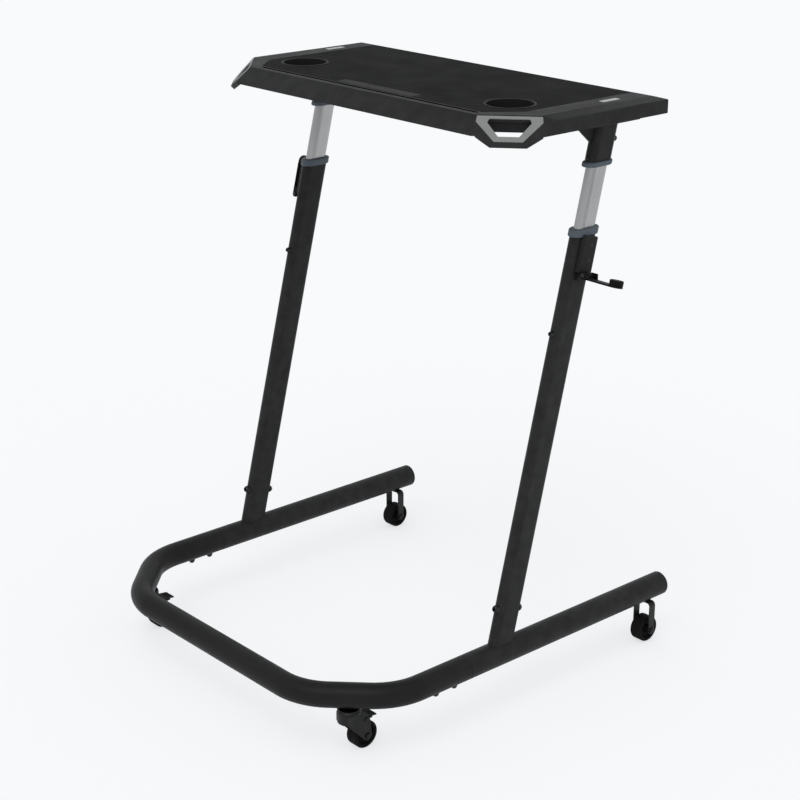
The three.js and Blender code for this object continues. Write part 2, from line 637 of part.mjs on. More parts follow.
// The side rail is welded to the spigot that the leg slips over
function rail() {
  const neckEnd = SEAM_Y - NECK_LENGTH;
  const shoulder = SEAM_Y + SEAT_GAP;
  const end = RAIL_END_Y - PLUG_CAP_LENGTH;
  const tube = turnedRing([
    [NECK_BORE_RADIUS, neckEnd],
    [NECK_RADIUS, neckEnd],
    [NECK_RADIUS, shoulder],
    [BASE_TUBE_RADIUS, shoulder],
    [BASE_TUBE_RADIUS, end],
    [BASE_BORE_RADIUS, end],
    [BASE_BORE_RADIUS, shoulder + NECK_TAPER],
    [NECK_BORE_RADIUS, shoulder],
  ], TUBE_SIDES).rotateX(-Math.PI / 2);
  const bore = new THREE.CylinderGeometry(BASE_BORE_RADIUS, BASE_BORE_RADIUS, 2 * LEG_DEPTH, TUBE_SIDES);
  const spigot = cut(legSpigot(), bore.rotateX(LEG_LEAN));
  const holes = RAIL_BOLT_YS.map((y) => boltHole(RAIL_BOLT_SHANK_DIAMETER, 0, y));
  return cut(
    join(tube, spigot.rotateX(-LEG_LEAN).translate(0, LEG_FOOT_Y, 0)),
    ...holes,
    boltHole(STRAP_BOLT_DIAMETER, 0, REAR_CASTER_Y),
  );
}

function railPlug() {
  const seat = RAIL_END_Y - PLUG_CAP_LENGTH + SEAT_GAP;
  const insertRadius = BASE_BORE_RADIUS - SEAT_GAP;
  return turned([
    [0, seat - PLUG_INSERT_LENGTH],
    [insertRadius, seat - PLUG_INSERT_LENGTH],
    [insertRadius, seat],
    [BASE_TUBE_RADIUS, seat],
    [BASE_TUBE_RADIUS, RAIL_END_Y - PLUG_CAP_BEVEL],
    [BASE_TUBE_RADIUS - PLUG_CAP_BEVEL, RAIL_END_Y],
    [0, RAIL_END_Y],
  ], TUBE_SIDES).rotateX(-Math.PI / 2);
}

// Both bolts of a side, screwed into the strip inside the neck
function railBolts() {
  const stripBottom = -Math.sqrt(NECK_BORE_RADIUS ** 2 - (NUT_STRIP_WIDTH / 2) ** 2) + SEAT_GAP;
  const stripTop = stripBottom + NUT_STRIP_THICKNESS;
  const bolts = RAIL_BOLT_YS.map((y) => domedScrew(
    RAIL_BOLT_SHANK_DIAMETER,
    stripTop - TUBE_BOTTOM,
    RAIL_BOLT_HEAD_DIAMETER,
    RAIL_BOLT_HEAD_HEIGHT,
  ).rotateX(Math.PI).translate(0, y, TUBE_BOTTOM));
  const strip = block(
    -NUT_STRIP_WIDTH / 2,
    NUT_STRIP_WIDTH / 2,
    Math.min(...RAIL_BOLT_YS) - NUT_STRIP_MARGIN,
    Math.max(...RAIL_BOLT_YS) + NUT_STRIP_MARGIN,
    stripBottom,
    stripTop,
  );
  return join(strip, ...bolts);
}

// Leg pieces, in the leg's own frame: x across, y towards its back, z along it
// Slides a square-ended tube's fibres along each other until its ends lie level in the leaning leg
function levelEnded(geometry) {
  return geometry.applyMatrix4(new THREE.Matrix4().makeShear(0, 0, 0, RIM_SLOPE, 0, 0));
}

const legBoreThickness = LEG_THICKNESS - 2 * LEG_WALL;
const legBoreDepth = LEG_DEPTH - 2 * LEG_WALL;

function railNotch() {
  const notch = new THREE.CylinderGeometry(
    BASE_TUBE_RADIUS + SEAT_GAP,
    BASE_TUBE_RADIUS + SEAT_GAP,
    2 * LEG_DEPTH,
    TUBE_SIDES,
  );
  return notch.rotateX(LEG_LEAN);
}

function screwAcross(shankDiameter, shankLength, headDiameter, headHeight, side, height) {
  const screw = domedScrew(shankDiameter, shankLength, headDiameter, headHeight);
  return screw.rotateX(-side * (Math.PI / 2)).translate(0, side * (LEG_DEPTH / 2 + SEAT_GAP), height);
}

function holeAcross(shankDiameter, side, height) {
  const drilled = hole(shankDiameter + 2 * HOLE_GAP, 0, LEG_DEPTH / 2 + CUT_OVERRUN);
  return drilled.rotateX(-side * (Math.PI / 2)).translate(0, 0, height);
}

function plungerHole(side) {
  const drilled = hole(PLUNGER_DIAMETER + 2 * RUNNING_GAP, 0, PIVOT_X, ROUND_SIDES);
  return drilled.rotateY(side * (Math.PI / 2)).translate(0, 0, PIVOT_HEIGHT);
}

function legTube(side) {
  const tube = ovalTube(LEG_THICKNESS, LEG_DEPTH, legBoreThickness, legBoreDepth, LEG_START, LEG_TOP);
  return cut(
    levelEnded(tube),
    railNotch(),
    holeAcross(LEG_BOLT_SHANK_DIAMETER, -1, LEG_BOLT_HEIGHT),
    holeAcross(LEG_BOLT_SHANK_DIAMETER, 1, LEG_BOLT_HEIGHT),
    holeAcross(GUIDE_SCREW_SHANK_DIAMETER, -1, GUIDE_SCREW_HEIGHT),
    plungerHole(side),
  );
}

function legSpigot() {
  const thickness = legBoreThickness - 2 * SEAT_GAP;
  const depth = legBoreDepth - 2 * SEAT_GAP;
  const boreThickness = thickness - 2 * SPIGOT_WALL;
  const boreDepth = depth - 2 * SPIGOT_WALL;
  const spigot = ovalTube(thickness, depth, boreThickness, boreDepth, LEG_START, SPIGOT_TOP);
  return cut(
    spigot,
    holeAcross(LEG_BOLT_SHANK_DIAMETER, -1, LEG_BOLT_HEIGHT),
    holeAcross(LEG_BOLT_SHANK_DIAMETER, 1, LEG_BOLT_HEIGHT),
  );
}

function legBolt() {
  const seat = LEG_DEPTH / 2 + SEAT_GAP;
  const bolt = throughBolt(LEG_BOLT_SHANK_DIAMETER, LEG_BOLT_HEAD_DIAMETER, LEG_BOLT_HEAD_HEIGHT, seat);
  return bolt.rotateX(Math.PI / 2).translate(0, 0, LEG_BOLT_HEIGHT);
}

function guideScrew() {
  const slotFloor = (LEG_DEPTH - INNER_DEPTH) / 2 + INNER_WALL;
  return screwAcross(
    GUIDE_SCREW_SHANK_DIAMETER,
    slotFloor,
    GUIDE_SCREW_HEAD_DIAMETER,
    GUIDE_SCREW_HEAD_HEIGHT,
    -1,
    GUIDE_SCREW_HEIGHT,
  );
}

function collarRing(boreThickness, boreDepth, z0, z1) {
  const thickness = LEG_THICKNESS + 2 * COLLAR_PROUD;
  const depth = LEG_DEPTH + 2 * COLLAR_PROUD;
  const low = z0 + COLLAR_BEVEL;
  const shape = oval(thickness - 2 * COLLAR_BEVEL, depth - 2 * COLLAR_BEVEL);
  const ring = new THREE.ExtrudeGeometry(shape, {
    depth: z1 - COLLAR_BEVEL - low,
    bevelEnabled: true,
    bevelSegments: 1,
    bevelSize: COLLAR_BEVEL,
    bevelThickness: COLLAR_BEVEL,
    curveSegments: OVAL_ARC_STEPS,
  }).translate(0, 0, low);
  return cut(ring, ovalBar(boreThickness, boreDepth, z0 - CUT_OVERRUN, z1 + CUT_OVERRUN));
}

function lowerCollar() {
  const boreThickness = INNER_THICKNESS + 2 * RUNNING_GAP;
  const boreDepth = INNER_DEPTH + 2 * RUNNING_GAP;
  const seat = LEG_TOP + SEAT_GAP;
  const sleeve = ovalTube(
    legBoreThickness - 2 * RUNNING_GAP,
    legBoreDepth - 2 * RUNNING_GAP,
    boreThickness,
    boreDepth,
    LEG_TOP - LOWER_SLEEVE_LENGTH,
    LEG_TOP + LOWER_COLLAR_HEIGHT / 2,
  );
  const ring = collarRing(boreThickness, boreDepth, seat, LEG_TOP + LOWER_COLLAR_HEIGHT);
  return levelEnded(join(ring, sleeve));
}

function upperCollar() {
  return levelEnded(collarRing(
    INNER_THICKNESS + 2 * SEAT_GAP,
    INNER_DEPTH + 2 * SEAT_GAP,
    UPPER_COLLAR_BOTTOM,
    UPPER_COLLAR_TOP,
  ));
}

// The slot that the guide screw rides in sets how far the desk can travel
function innerTube() {
  const tube = ovalTube(
    INNER_THICKNESS,
    INNER_DEPTH,
    INNER_THICKNESS - 2 * INNER_WALL,
    INNER_DEPTH - 2 * INNER_WALL,
    INNER_BOTTOM,
    INNER_TOP,
  );
  const slotHalf = GUIDE_SCREW_SHANK_DIAMETER / 2 + HOLE_GAP;
  const slotLow = GUIDE_SCREW_HEIGHT - TRAVEL_UP - slotHalf;
  const slotHigh = GUIDE_SCREW_HEIGHT + TRAVEL_DOWN + slotHalf;
  const front = -INNER_DEPTH / 2;
  const slotBack = front + INNER_WALL + CUT_OVERRUN;
  const slot = block(-slotHalf, slotHalf, front - CUT_OVERRUN, slotBack, slotLow, slotHigh);
  const grooves = [];
  for (const side of [-1, 1]) {
    for (const offset of GROOVE_OFFSETS) {
      const face = (side * INNER_THICKNESS) / 2;
      const low = offset - GROOVE_WIDTH / 2;
      const high = offset + GROOVE_WIDTH / 2;
      grooves.push(block(
        face - GROOVE_DEPTH,
        face + GROOVE_DEPTH,
        low,
        high,
        INNER_BOTTOM - CUT_OVERRUN,
        INNER_TOP + CUT_OVERRUN,
      ));
    }
  }
  return cut(
    tube,
    slot,
    ...grooves,
  );
}

function innerBush() {
  const rimTop = INNER_BOTTOM - SEAT_GAP;
  const rim = ovalTube(
    legBoreThickness - 2 * RUNNING_GAP,
    legBoreDepth - 2 * RUNNING_GAP,
    INNER_THICKNESS - 2 * (INNER_WALL + BUSH_WALL),
    INNER_DEPTH - 2 * (INNER_WALL + BUSH_WALL),
    rimTop - BUSH_RIM,
    rimTop,
  );
  const insert = ovalTube(
    INNER_THICKNESS - 2 * (INNER_WALL + SEAT_GAP),
    INNER_DEPTH - 2 * (INNER_WALL + SEAT_GAP),
    INNER_THICKNESS - 2 * (INNER_WALL + BUSH_WALL),
    INNER_DEPTH - 2 * (INNER_WALL + BUSH_WALL),
    rimTop - BUSH_RIM,
    rimTop + BUSH_LENGTH,
  );
  return join(rim, insert);
}

// From a place in the base frame (y, z) to the leg's own frame (y, z)
function toLeg(y, z) {
  const back = y - LEG_FOOT_Y;
  return [
    back * Math.cos(LEG_LEAN) - z * Math.sin(LEG_LEAN),
    back * Math.sin(LEG_LEAN) + z * Math.cos(LEG_LEAN),
  ];
}

function socketScrewHead(headDiameter, headHeight, side, height) {
  const domeHeight = Math.min(headHeight, headDiameter / 4);
  const head = turned([
    [0, -LEG_WALL],
    [headDiameter / 2, -LEG_WALL],
    ...domeProfile(headDiameter, domeHeight, headHeight - domeHeight),
  ], SMALL_SIDES);
  return head.rotateX(-side * (Math.PI / 2)).translate(0, (side * LEG_DEPTH) / 2, height);
}

// Socket tube, gusset and mounting plate, welded together, with the heads of the socket's two screws.
// The plate lies level under the desk
function upperTube() {
  const bottom = UPPER_COLLAR_TOP + SEAT_GAP;
  const beyond = INNER_TOP + LEG_DEPTH;
  const plate = alongX(outline([
    toLeg(SOCKET_PLATE_FRONT_Y, SOCKET_PLATE_BOTTOM),
    toLeg(SOCKET_PLATE_REAR_Y, SOCKET_PLATE_BOTTOM),
    toLeg(SOCKET_PLATE_REAR_Y, SOCKET_PLATE_TOP),
    toLeg(SOCKET_PLATE_FRONT_Y, SOCKET_PLATE_TOP),
  ]), -SOCKET_PLATE_WIDTH / 2, SOCKET_PLATE_WIDTH / 2);
  const above = alongX(outline([
    toLeg(SOCKET_PLATE_FRONT_Y - LEG_DEPTH, SOCKET_PLATE_TOP),
    toLeg(SOCKET_PLATE_REAR_Y + LEG_DEPTH, SOCKET_PLATE_TOP),
    toLeg(SOCKET_PLATE_REAR_Y + LEG_DEPTH, SOCKET_PLATE_TOP + LEG_DEPTH),
    toLeg(SOCKET_PLATE_FRONT_Y - LEG_DEPTH, SOCKET_PLATE_TOP + LEG_DEPTH),
  ]), -SOCKET_PLATE_WIDTH, SOCKET_PLATE_WIDTH);
  const gussetBack = -LEG_DEPTH / 2 + LEG_WALL;
  const gussetTop = (SOCKET_PLATE_TOP + SOCKET_PLATE_BOTTOM) / 2;
  const gusset = alongX(outline([
    [gussetBack, GUSSET_FOOT],
    [gussetBack, (gussetTop + gussetBack * Math.sin(LEG_LEAN)) / Math.cos(LEG_LEAN)],
    toLeg(SOCKET_PLATE_FRONT_Y, gussetTop),
    toLeg(SOCKET_PLATE_FRONT_Y, SOCKET_PLATE_BOTTOM),
    [-LEG_DEPTH / 2, GUSSET_FOOT],
  ]), -GUSSET_THICKNESS / 2, GUSSET_THICKNESS / 2);
  const bore = ovalBar(
    INNER_THICKNESS + 2 * SEAT_GAP,
    INNER_DEPTH + 2 * SEAT_GAP,
    bottom - RIM_FALL - CUT_OVERRUN,
    beyond,
  );
  const heads = [
    socketScrewHead(
      FRONT_SOCKET_SCREW_HEAD_DIAMETER,
      FRONT_SOCKET_SCREW_HEAD_HEIGHT,
      -1,
      FRONT_SOCKET_SCREW_HEIGHT,
    ),
    socketScrewHead(
      REAR_SOCKET_SCREW_HEAD_DIAMETER,
      REAR_SOCKET_SCREW_HEAD_HEIGHT,
      1,
      REAR_SOCKET_SCREW_HEIGHT,
    ),
  ];
  const tube = levelEnded(ovalBar(LEG_THICKNESS, LEG_DEPTH, bottom, beyond));
  const body = join(tube, plate, gusset, ...heads);
  return cut(body, above, bore);
}

// Cam lock: housing with two lugs that carry the lever's pin
function lockHousing(side) {
  const halfWidth = LOCK_WIDTH / 2;
  const shell = alongY(outline([
    [side * LOCK_BASE_X, LOCK_BOTTOM],
    [side * LOCK_FACE_X, LOCK_BOTTOM],
    [side * LOCK_FACE_X, LOCK_TOP - LOCK_BEVEL],
    [side * (LOCK_FACE_X - LOCK_BEVEL), LOCK_TOP],
    [side * LOCK_RELIEF_X, LOCK_TOP],
    [side * LOCK_RELIEF_X, LOCK_RELIEF_BOTTOM],
    [side * LOCK_BASE_X, LOCK_RELIEF_BOTTOM],
  ]), -halfWidth, halfWidth);
  const footFace = LEG_FACE + LOCK_FOOT_PROUD;
  const foot = alongY(outline([
    [side * LOCK_BASE_X, LOCK_FOOT_BOTTOM],
    [side * footFace, LOCK_FOOT_BOTTOM],
    [side * footFace, LOCK_BOTTOM + CUT_OVERRUN],
    [side * LOCK_BASE_X, LOCK_BOTTOM + CUT_OVERRUN],
  ]), -LUG_OUTER, LUG_OUTER);
  const lugs = [-1, 1].map((end) => {
    const lug = new THREE.Shape();
    lug.moveTo(side * (footFace - LUG_THICKNESS), PIVOT_HEIGHT - LUG_RADIUS);
    lug.lineTo(side * PIVOT_X, PIVOT_HEIGHT - LUG_RADIUS);
    lug.absarc(side * PIVOT_X, PIVOT_HEIGHT, LUG_RADIUS, -Math.PI / 2, Math.PI / 2, side < 0);
    lug.lineTo(side * (footFace - LUG_THICKNESS), PIVOT_HEIGHT + LUG_RADIUS);
    const [near, far] = end < 0 ? [-LUG_OUTER, -LUG_INNER] : [LUG_INNER, LUG_OUTER];
    return alongY(lug, near, far, DOME_STEPS);
  });
  const pinHole = hole(PIVOT_PIN_DIAMETER + 2 * HOLE_GAP, -LOCK_WIDTH, LOCK_WIDTH);
  return cut(
    join(shell, foot, ...lugs),
    plungerHole(side),
    pinHole.rotateX(Math.PI / 2).translate(side * PIVOT_X, 0, PIVOT_HEIGHT),
  );
}

function leverPin(side) {
  const shankEnd = LEVER_PLATE_WIDTH / 2 + SEAT_GAP;
  const headEnd = shankEnd + PIVOT_HEAD_HEIGHT;
  const pin = turned([
    [0, -headEnd],
    [PIVOT_HEAD_DIAMETER / 2, -headEnd],
    [PIVOT_HEAD_DIAMETER / 2, -shankEnd],
    [PIVOT_PIN_DIAMETER / 2, -shankEnd],
    [PIVOT_PIN_DIAMETER / 2, shankEnd],
    [PIVOT_HEAD_DIAMETER / 2, shankEnd],
    [PIVOT_HEAD_DIAMETER / 2, headEnd],
    [0, headEnd],
  ], SMALL_SIDES);
  return pin.rotateX(Math.PI / 2).translate(side * PIVOT_X, 0, PIVOT_HEIGHT);
}

// Lever, drawn open in its own frame: pivot at the origin, arm along +x, its under side at -z
function lockLever() {
  const halfWidth = LEVER_PLATE_WIDTH / 2;
  const ears = [[-halfWidth, -EAR_INNER], [EAR_INNER, halfWidth]].map(([near, far]) => {
    const ear = new THREE.Shape();
    ear.moveTo(0, -LEVER_EAR_RADIUS);
    ear.lineTo(LEVER_EAR_REACH, -LEVER_EAR_RADIUS);
    ear.lineTo(LEVER_EAR_REACH, PLATE_TOP);
    ear.lineTo(LEVER_EAR_FLAT, LEVER_EAR_RADIUS);
    ear.lineTo(0, LEVER_EAR_RADIUS);
    ear.absarc(0, 0, LEVER_EAR_RADIUS, Math.PI / 2, (3 * Math.PI) / 2, false);
    return alongY(ear, near, far, OVAL_ARC_STEPS);
  });
  const arm = new THREE.Shape();
  arm.moveTo(LEVER_PLATE_START, -halfWidth);
  arm.lineTo(GRIP_REACH, -halfWidth);
  arm.lineTo(GRIP_REACH, -LEVER_TIP_RADIUS);
  arm.absarc(GRIP_REACH, 0, LEVER_TIP_RADIUS, -Math.PI / 2, Math.PI / 2, false);
  arm.lineTo(GRIP_REACH, halfWidth);
  arm.lineTo(LEVER_PLATE_START, halfWidth);
  const plate = alongZ(arm, -LEVER_EAR_RADIUS, PLATE_TOP, OVAL_ARC_STEPS);
  const camHalf = LUG_INNER - RUNNING_GAP;
  const cam = disc(2 * (CAM_RADIUS - CAM_LIFT), -camHalf, camHalf, ROUND_SIDES).rotateX(Math.PI / 2);
  cam.scale(1, 1, CAM_RADIUS / (CAM_RADIUS - CAM_LIFT));
  const webHalf = CAM_WEB_WIDTH / 2;
  const web = block(0, LEVER_PLATE_START + CUT_OVERRUN, -webHalf, webHalf, -LEVER_EAR_RADIUS, PLATE_TOP);
  const pinHole = hole(PIVOT_PIN_DIAMETER + 2 * RUNNING_GAP, -LOCK_WIDTH, LOCK_WIDTH).rotateX(Math.PI / 2);
  return cut(join(...ears, plate, web, cam), pinHole);
}

function leverKnob() {
  const low = PLATE_TOP + SEAT_GAP;
  const radius = GRIP_DIAMETER / 2;
  return turned([
    [0, low],
    [radius, low],
    [radius, LEVER_EAR_RADIUS - GRIP_BEVEL],
    [radius - GRIP_BEVEL, LEVER_EAR_RADIUS],
    [0, LEVER_EAR_RADIUS],
  ], ROUND_SIDES).translate(GRIP_REACH, 0, 0);
}

// Plunger in its own frame: it lies along +x, its clamp face looks to -x, its nose touches the cam
function lockPad() {
  const noseEnd = -(CAM_RADIUS - CAM_LIFT) - SEAT_GAP;
  const face = INNER_THICKNESS / 2 + SEAT_GAP + CAM_LIFT - PIVOT_X;
  const shoulder = face + PLUNGER_LENGTH;
  return turned([
    [0, face],
    [PLUNGER_DIAMETER / 2, face],
    [PLUNGER_DIAMETER / 2, shoulder],
    [PLUNGER_NOSE_DIAMETER / 2, shoulder],
    [PLUNGER_NOSE_DIAMETER / 2, noseEnd],
    [0, noseEnd],
  ], ROUND_SIDES).rotateY(Math.PI / 2);
}

// Desktop
// Where the handle's leaning face, at a drop below the top, meets a given x or y
function handleFaceOffset(drop) {
  const [sin, cos] = [Math.sin(HANDLE_TURN), Math.cos(HANDLE_TURN)];
  return HANDLE_X * sin - HANDLE_Y * cos + drop * Math.tan(HANDLE_LEAN);
}

function handleFaceX(y, drop) {
  return (handleFaceOffset(drop) + y * Math.cos(HANDLE_TURN)) / Math.sin(HANDLE_TURN);
}

function handleFaceY(x, drop) {
  return (x * Math.sin(HANDLE_TURN) - handleFaceOffset(drop)) / Math.cos(HANDLE_TURN);
}

function deskBlank() {
  const crestX = DESK_HALF_WIDTH - SIDE_SLOPE_WIDTH;
  const points = [];
  for (const side of [-1, 1]) {
    const levels = [
      [handleFaceX(FRONT_CREST_Y, 0), FRONT_CREST_Y, 0],
      [crestX, handleFaceY(crestX, 0), 0],
      [crestX, DESK_REAR_Y - REAR_SLOPE_WIDTH, 0],
      [DESK_HALF_WIDTH, handleFaceY(DESK_HALF_WIDTH, SIDE_SLOPE_DROP), SIDE_SLOPE_DROP],
      [DESK_HALF_WIDTH, DESK_REAR_Y, SIDE_SLOPE_DROP],
      [handleFaceX(FRONT_FOOT_Y, DESK_THICKNESS), FRONT_FOOT_Y, DESK_THICKNESS],
      [DESK_HALF_WIDTH, handleFaceY(DESK_HALF_WIDTH, DESK_THICKNESS), DESK_THICKNESS],
      [DESK_HALF_WIDTH, DESK_REAR_Y, DESK_THICKNESS],
    ];
    for (const [x, y, drop] of levels) {
      points.push(new THREE.Vector3(side * x, y, DESK_TOP - drop));
    }
  }
  return new ConvexGeometry(points);
}

// The corner's frame: x along the handle, y inward, z up. Leaning, its y stands square to the face
function cornerMatrix(side, lean) {
  const place = new THREE.Matrix4().makeTranslation(side * HANDLE_X, HANDLE_Y, DESK_TOP);
  place.multiply(new THREE.Matrix4().makeRotationZ(side * HANDLE_TURN));
  return place.multiply(new THREE.Matrix4().makeRotationX(-lean));
}

function openingShape() {
  return [
    [-OPENING_TOP_HALF_WIDTH, -OPENING_TOP_DROP],
    [-OPENING_HALF_WIDTH, -OPENING_SHOULDER_DROP],
    [-OPENING_FOOT_HALF_WIDTH, -OPENING_FOOT_DROP],
    [OPENING_FOOT_HALF_WIDTH, -OPENING_FOOT_DROP],
    [OPENING_HALF_WIDTH, -OPENING_SHOULDER_DROP],
    [OPENING_TOP_HALF_WIDTH, -OPENING_TOP_DROP],
  ];
}

function trimShape(grow) {
  return [
    [-TRIM_TOP_HALF_WIDTH - grow, -TRIM_TOP_DROP + grow],
    [-TRIM_HALF_WIDTH - grow, -TRIM_SHOULDER_DROP],
    [-TRIM_FOOT_HALF_WIDTH - grow, -TRIM_FOOT_DROP - grow],
    [TRIM_FOOT_HALF_WIDTH + grow, -TRIM_FOOT_DROP - grow],
    [TRIM_HALF_WIDTH + grow, -TRIM_SHOULDER_DROP],
    [TRIM_TOP_HALF_WIDTH + grow, -TRIM_TOP_DROP + grow],
  ];
}

function handleLoop(side) {
  const loop = alongY(outline([
    [-LOOP_HALF_WIDTH, -LOOP_ROOT_DROP],
    [-LOOP_HALF_WIDTH, -LOOP_SHOULDER_DROP],
    [-LOOP_FOOT_HALF_WIDTH, -LOOP_FOOT_DROP],
    [LOOP_FOOT_HALF_WIDTH, -LOOP_FOOT_DROP],
    [LOOP_HALF_WIDTH, -LOOP_SHOULDER_DROP],
    [LOOP_HALF_WIDTH, -LOOP_ROOT_DROP],
  ]), 0, LOOP_THICKNESS);
  return loop.applyMatrix4(cornerMatrix(side, HANDLE_LEAN));
}

function handleCuts(side) {
  const opening = alongY(outline(openingShape()), -LOOP_THICKNESS, LOOP_THICKNESS + CUT_OVERRUN);
  const trimSeat = alongY(outline(trimShape(SEAT_GAP)), -LOOP_THICKNESS, TRIM_THICKNESS - TRIM_PROUD);
  const innerFace = (drop) => LOOP_THICKNESS / Math.cos(HANDLE_LEAN) - drop * Math.tan(HANDLE_LEAN);
  const pocketFoot = DESK_THICKNESS + CUT_OVERRUN;
  const pocket = alongX(outline([
    [innerFace(pocketFoot), -pocketFoot],
    [POCKET_BACK, -pocketFoot],
    [POCKET_BACK, -POCKET_CEILING_DROP],
    [innerFace(POCKET_CEILING_DROP), -POCKET_CEILING_DROP],
  ]), -POCKET_HALF_WIDTH, POCKET_HALF_WIDTH);
  return [
    opening.applyMatrix4(cornerMatrix(side, HANDLE_LEAN)),
    trimSeat.applyMatrix4(cornerMatrix(side, HANDLE_LEAN)),
    pocket.applyMatrix4(cornerMatrix(side, 0)),
  ];
}

function handleTrim(side) {
  const trim = alongY(outline(trimShape(0)), -TRIM_PROUD, TRIM_THICKNESS - TRIM_PROUD - SEAT_GAP);
  const opening = alongY(outline(openingShape()), -LOOP_THICKNESS, LOOP_THICKNESS);
  return cut(trim, opening).applyMatrix4(cornerMatrix(side, HANDLE_LEAN));
}

function panelOutline(inset) {
  const x = DESK_HALF_WIDTH - PANEL_MARGIN - inset;
  const front = PANEL_FRONT_Y + inset;
  const rear = DESK_REAR_Y - PANEL_MARGIN - inset;
  return outline([
    [-x + PANEL_CORNER_CUT, front],
    [x - PANEL_CORNER_CUT, front],
    [x, front + PANEL_CORNER_CUT],
    [x, rear],
    [-x, rear],
    [-x, front + PANEL_CORNER_CUT],
  ]);
}

function matOutline(inset) {
  const x = MAT_HALF_WIDTH - inset;
  const front = MAT_FRONT_Y + inset;
  const rear = MAT_REAR_Y - inset;
  return outline([
    [-x + MAT_CORNER_WIDTH, front],
    [x - MAT_CORNER_WIDTH, front],
    [x, front + MAT_CORNER_DEPTH],
    [x, rear],
    [-x, rear],
    [-x, front + MAT_CORNER_DEPTH],
  ]);
}

function inlaySeat(side, grow, bottom, top) {
  return block(
    side * INLAY_X - INLAY_WIDTH / 2 - grow,
    side * INLAY_X + INLAY_WIDTH / 2 + grow,
    INLAY_Y - INLAY_LENGTH / 2 - grow,
    INLAY_Y + INLAY_LENGTH / 2 + grow,
    bottom,
    top,
  );
}

const matFloor = DESK_TOP - MAT_THICKNESS - SEAT_GAP;

function deskFrame() {
  const blank = join(deskBlank(), handleLoop(-1), handleLoop(1));
  const inlayFloor = DESK_TOP + INLAY_PROUD - INLAY_THICKNESS - SEAT_GAP;
  const cups = [-1, 1].map((side) => {
    const diameter = CUP_BORE_DIAMETER + 2 * (CUP_WALL + SEAT_GAP);
    const well = hole(diameter, PANEL_TOP, DESK_TOP + CUT_OVERRUN, CUP_SIDES);
    return well.translate(side * CUP_X, CUP_Y, 0);
  });
  return cut(
    blank,
    alongZ(panelOutline(-SEAT_GAP), DESK_BOTTOM - CUT_OVERRUN, PANEL_TOP + SEAT_GAP),
    alongZ(panelOutline(HOLLOW_MARGIN), PANEL_TOP, HOLLOW_TOP),
    alongZ(matOutline(-SEAT_GAP), matFloor, DESK_TOP + CUT_OVERRUN),
    block(
      SLOT_LEFT_X,
      SLOT_RIGHT_X,
      SLOT_Y - SLOT_WIDTH / 2,
      SLOT_Y + SLOT_WIDTH / 2,
      DESK_TOP - SLOT_DEPTH,
      DESK_TOP + CUT_OVERRUN,
    ),
    ...cups,
    ...[-1, 1].map((side) => inlaySeat(side, SEAT_GAP, inlayFloor, DESK_TOP + CUT_OVERRUN)),
    ...handleCuts(-1),
    ...handleCuts(1),
  );
}

function deskBasePanel() {
  return alongZ(panelOutline(0), DESK_BOTTOM, PANEL_TOP);
}

function tabletStripShape(grow, bottom, top) {
  return block(
    STRIP_LEFT_X - grow,
    STRIP_RIGHT_X + grow,
    STRIP_FRONT_Y - grow,
    STRIP_REAR_Y + grow,
    bottom,
    top,
  );
}

function deskMat() {
  const mat = alongZ(matOutline(0), DESK_TOP - MAT_THICKNESS, DESK_TOP);
  const cups = [-1, 1].map((side) => hole(
    CUP_RING_DIAMETER + 2 * SEAT_GAP,
    DESK_TOP - DESK_THICKNESS,
    DESK_TOP + CUT_OVERRUN,
    CUP_SIDES,
  ).translate(side * CUP_X, CUP_Y, 0));
  const stripFloor = DESK_TOP - STRIP_THICKNESS - SEAT_GAP;
  return cut(mat, ...cups, tabletStripShape(SEAT_GAP, stripFloor, DESK_TOP + CUT_OVERRUN));
}

function tabletStrip() {
  return tabletStripShape(0, DESK_TOP - STRIP_THICKNESS, DESK_TOP);
}

function cupLiner() {
  const bore = CUP_BORE_DIAMETER / 2;
  const ring = CUP_RING_DIAMETER / 2;
  const ringTop = DESK_TOP + CUP_RING_PROUD;
  const ringBottom = matFloor + SEAT_GAP;
  const wellFloor = DESK_TOP - CUP_DEPTH;
  return turned([
    [0, wellFloor - CUP_WALL],
    [bore + CUP_WALL, wellFloor - CUP_WALL],
    [bore + CUP_WALL, ringBottom],
    [ring, ringBottom],
    [ring, DESK_TOP],
    [ring - CUP_RING_PROUD, ringTop],
    [bore, ringTop],
    [bore, wellFloor],
    [0, wellFloor],
  ], CUP_SIDES);
}

function inlayPlate(side) {
  const top = DESK_TOP + INLAY_PROUD;
  return inlaySeat(side, 0, top - INLAY_THICKNESS, top);
}

// Casters
function eyeHole(diameter, y, z, halfLength) {
  return hole(diameter, -halfLength, halfLength).rotateY(Math.PI / 2).translate(0, y, z);
}

function wheel(bossWidth) {
  const flatToCorner = 1 / Math.cos(Math.PI / WHEEL_SIDES);
  const tread = WHEEL_RADIUS * flatToCorner;
  const half = WHEEL_WIDTH / 2;
  const bore = AXLE_DIAMETER / 2 + RUNNING_GAP;
  const boss = WHEEL_BOSS_DIAMETER / 2;
  const web = half - WHEEL_RECESS_DEPTH;
  const rim = WHEEL_RADIUS - WHEEL_RIM_THICKNESS;
  const edge = half - WHEEL_EDGE_BEVEL;
  const body = turnedRing([
    [bore, -bossWidth / 2],
    [boss, -bossWidth / 2],
    [boss, -web],
    [rim, -web],
    [rim, -half],
    [tread - WHEEL_EDGE_BEVEL, -half],
    [tread, -edge],
    [tread, edge],
    [tread - WHEEL_EDGE_BEVEL, half],
    [rim, half],
    [rim, web],
    [boss, web],
    [boss, bossWidth / 2],
    [bore, bossWidth / 2],
  ], WHEEL_SIDES);
  // half a step of turn lays a flat of the tread on the floor
  return body.rotateZ(Math.PI / WHEEL_SIDES).rotateY(Math.PI / 2);
}

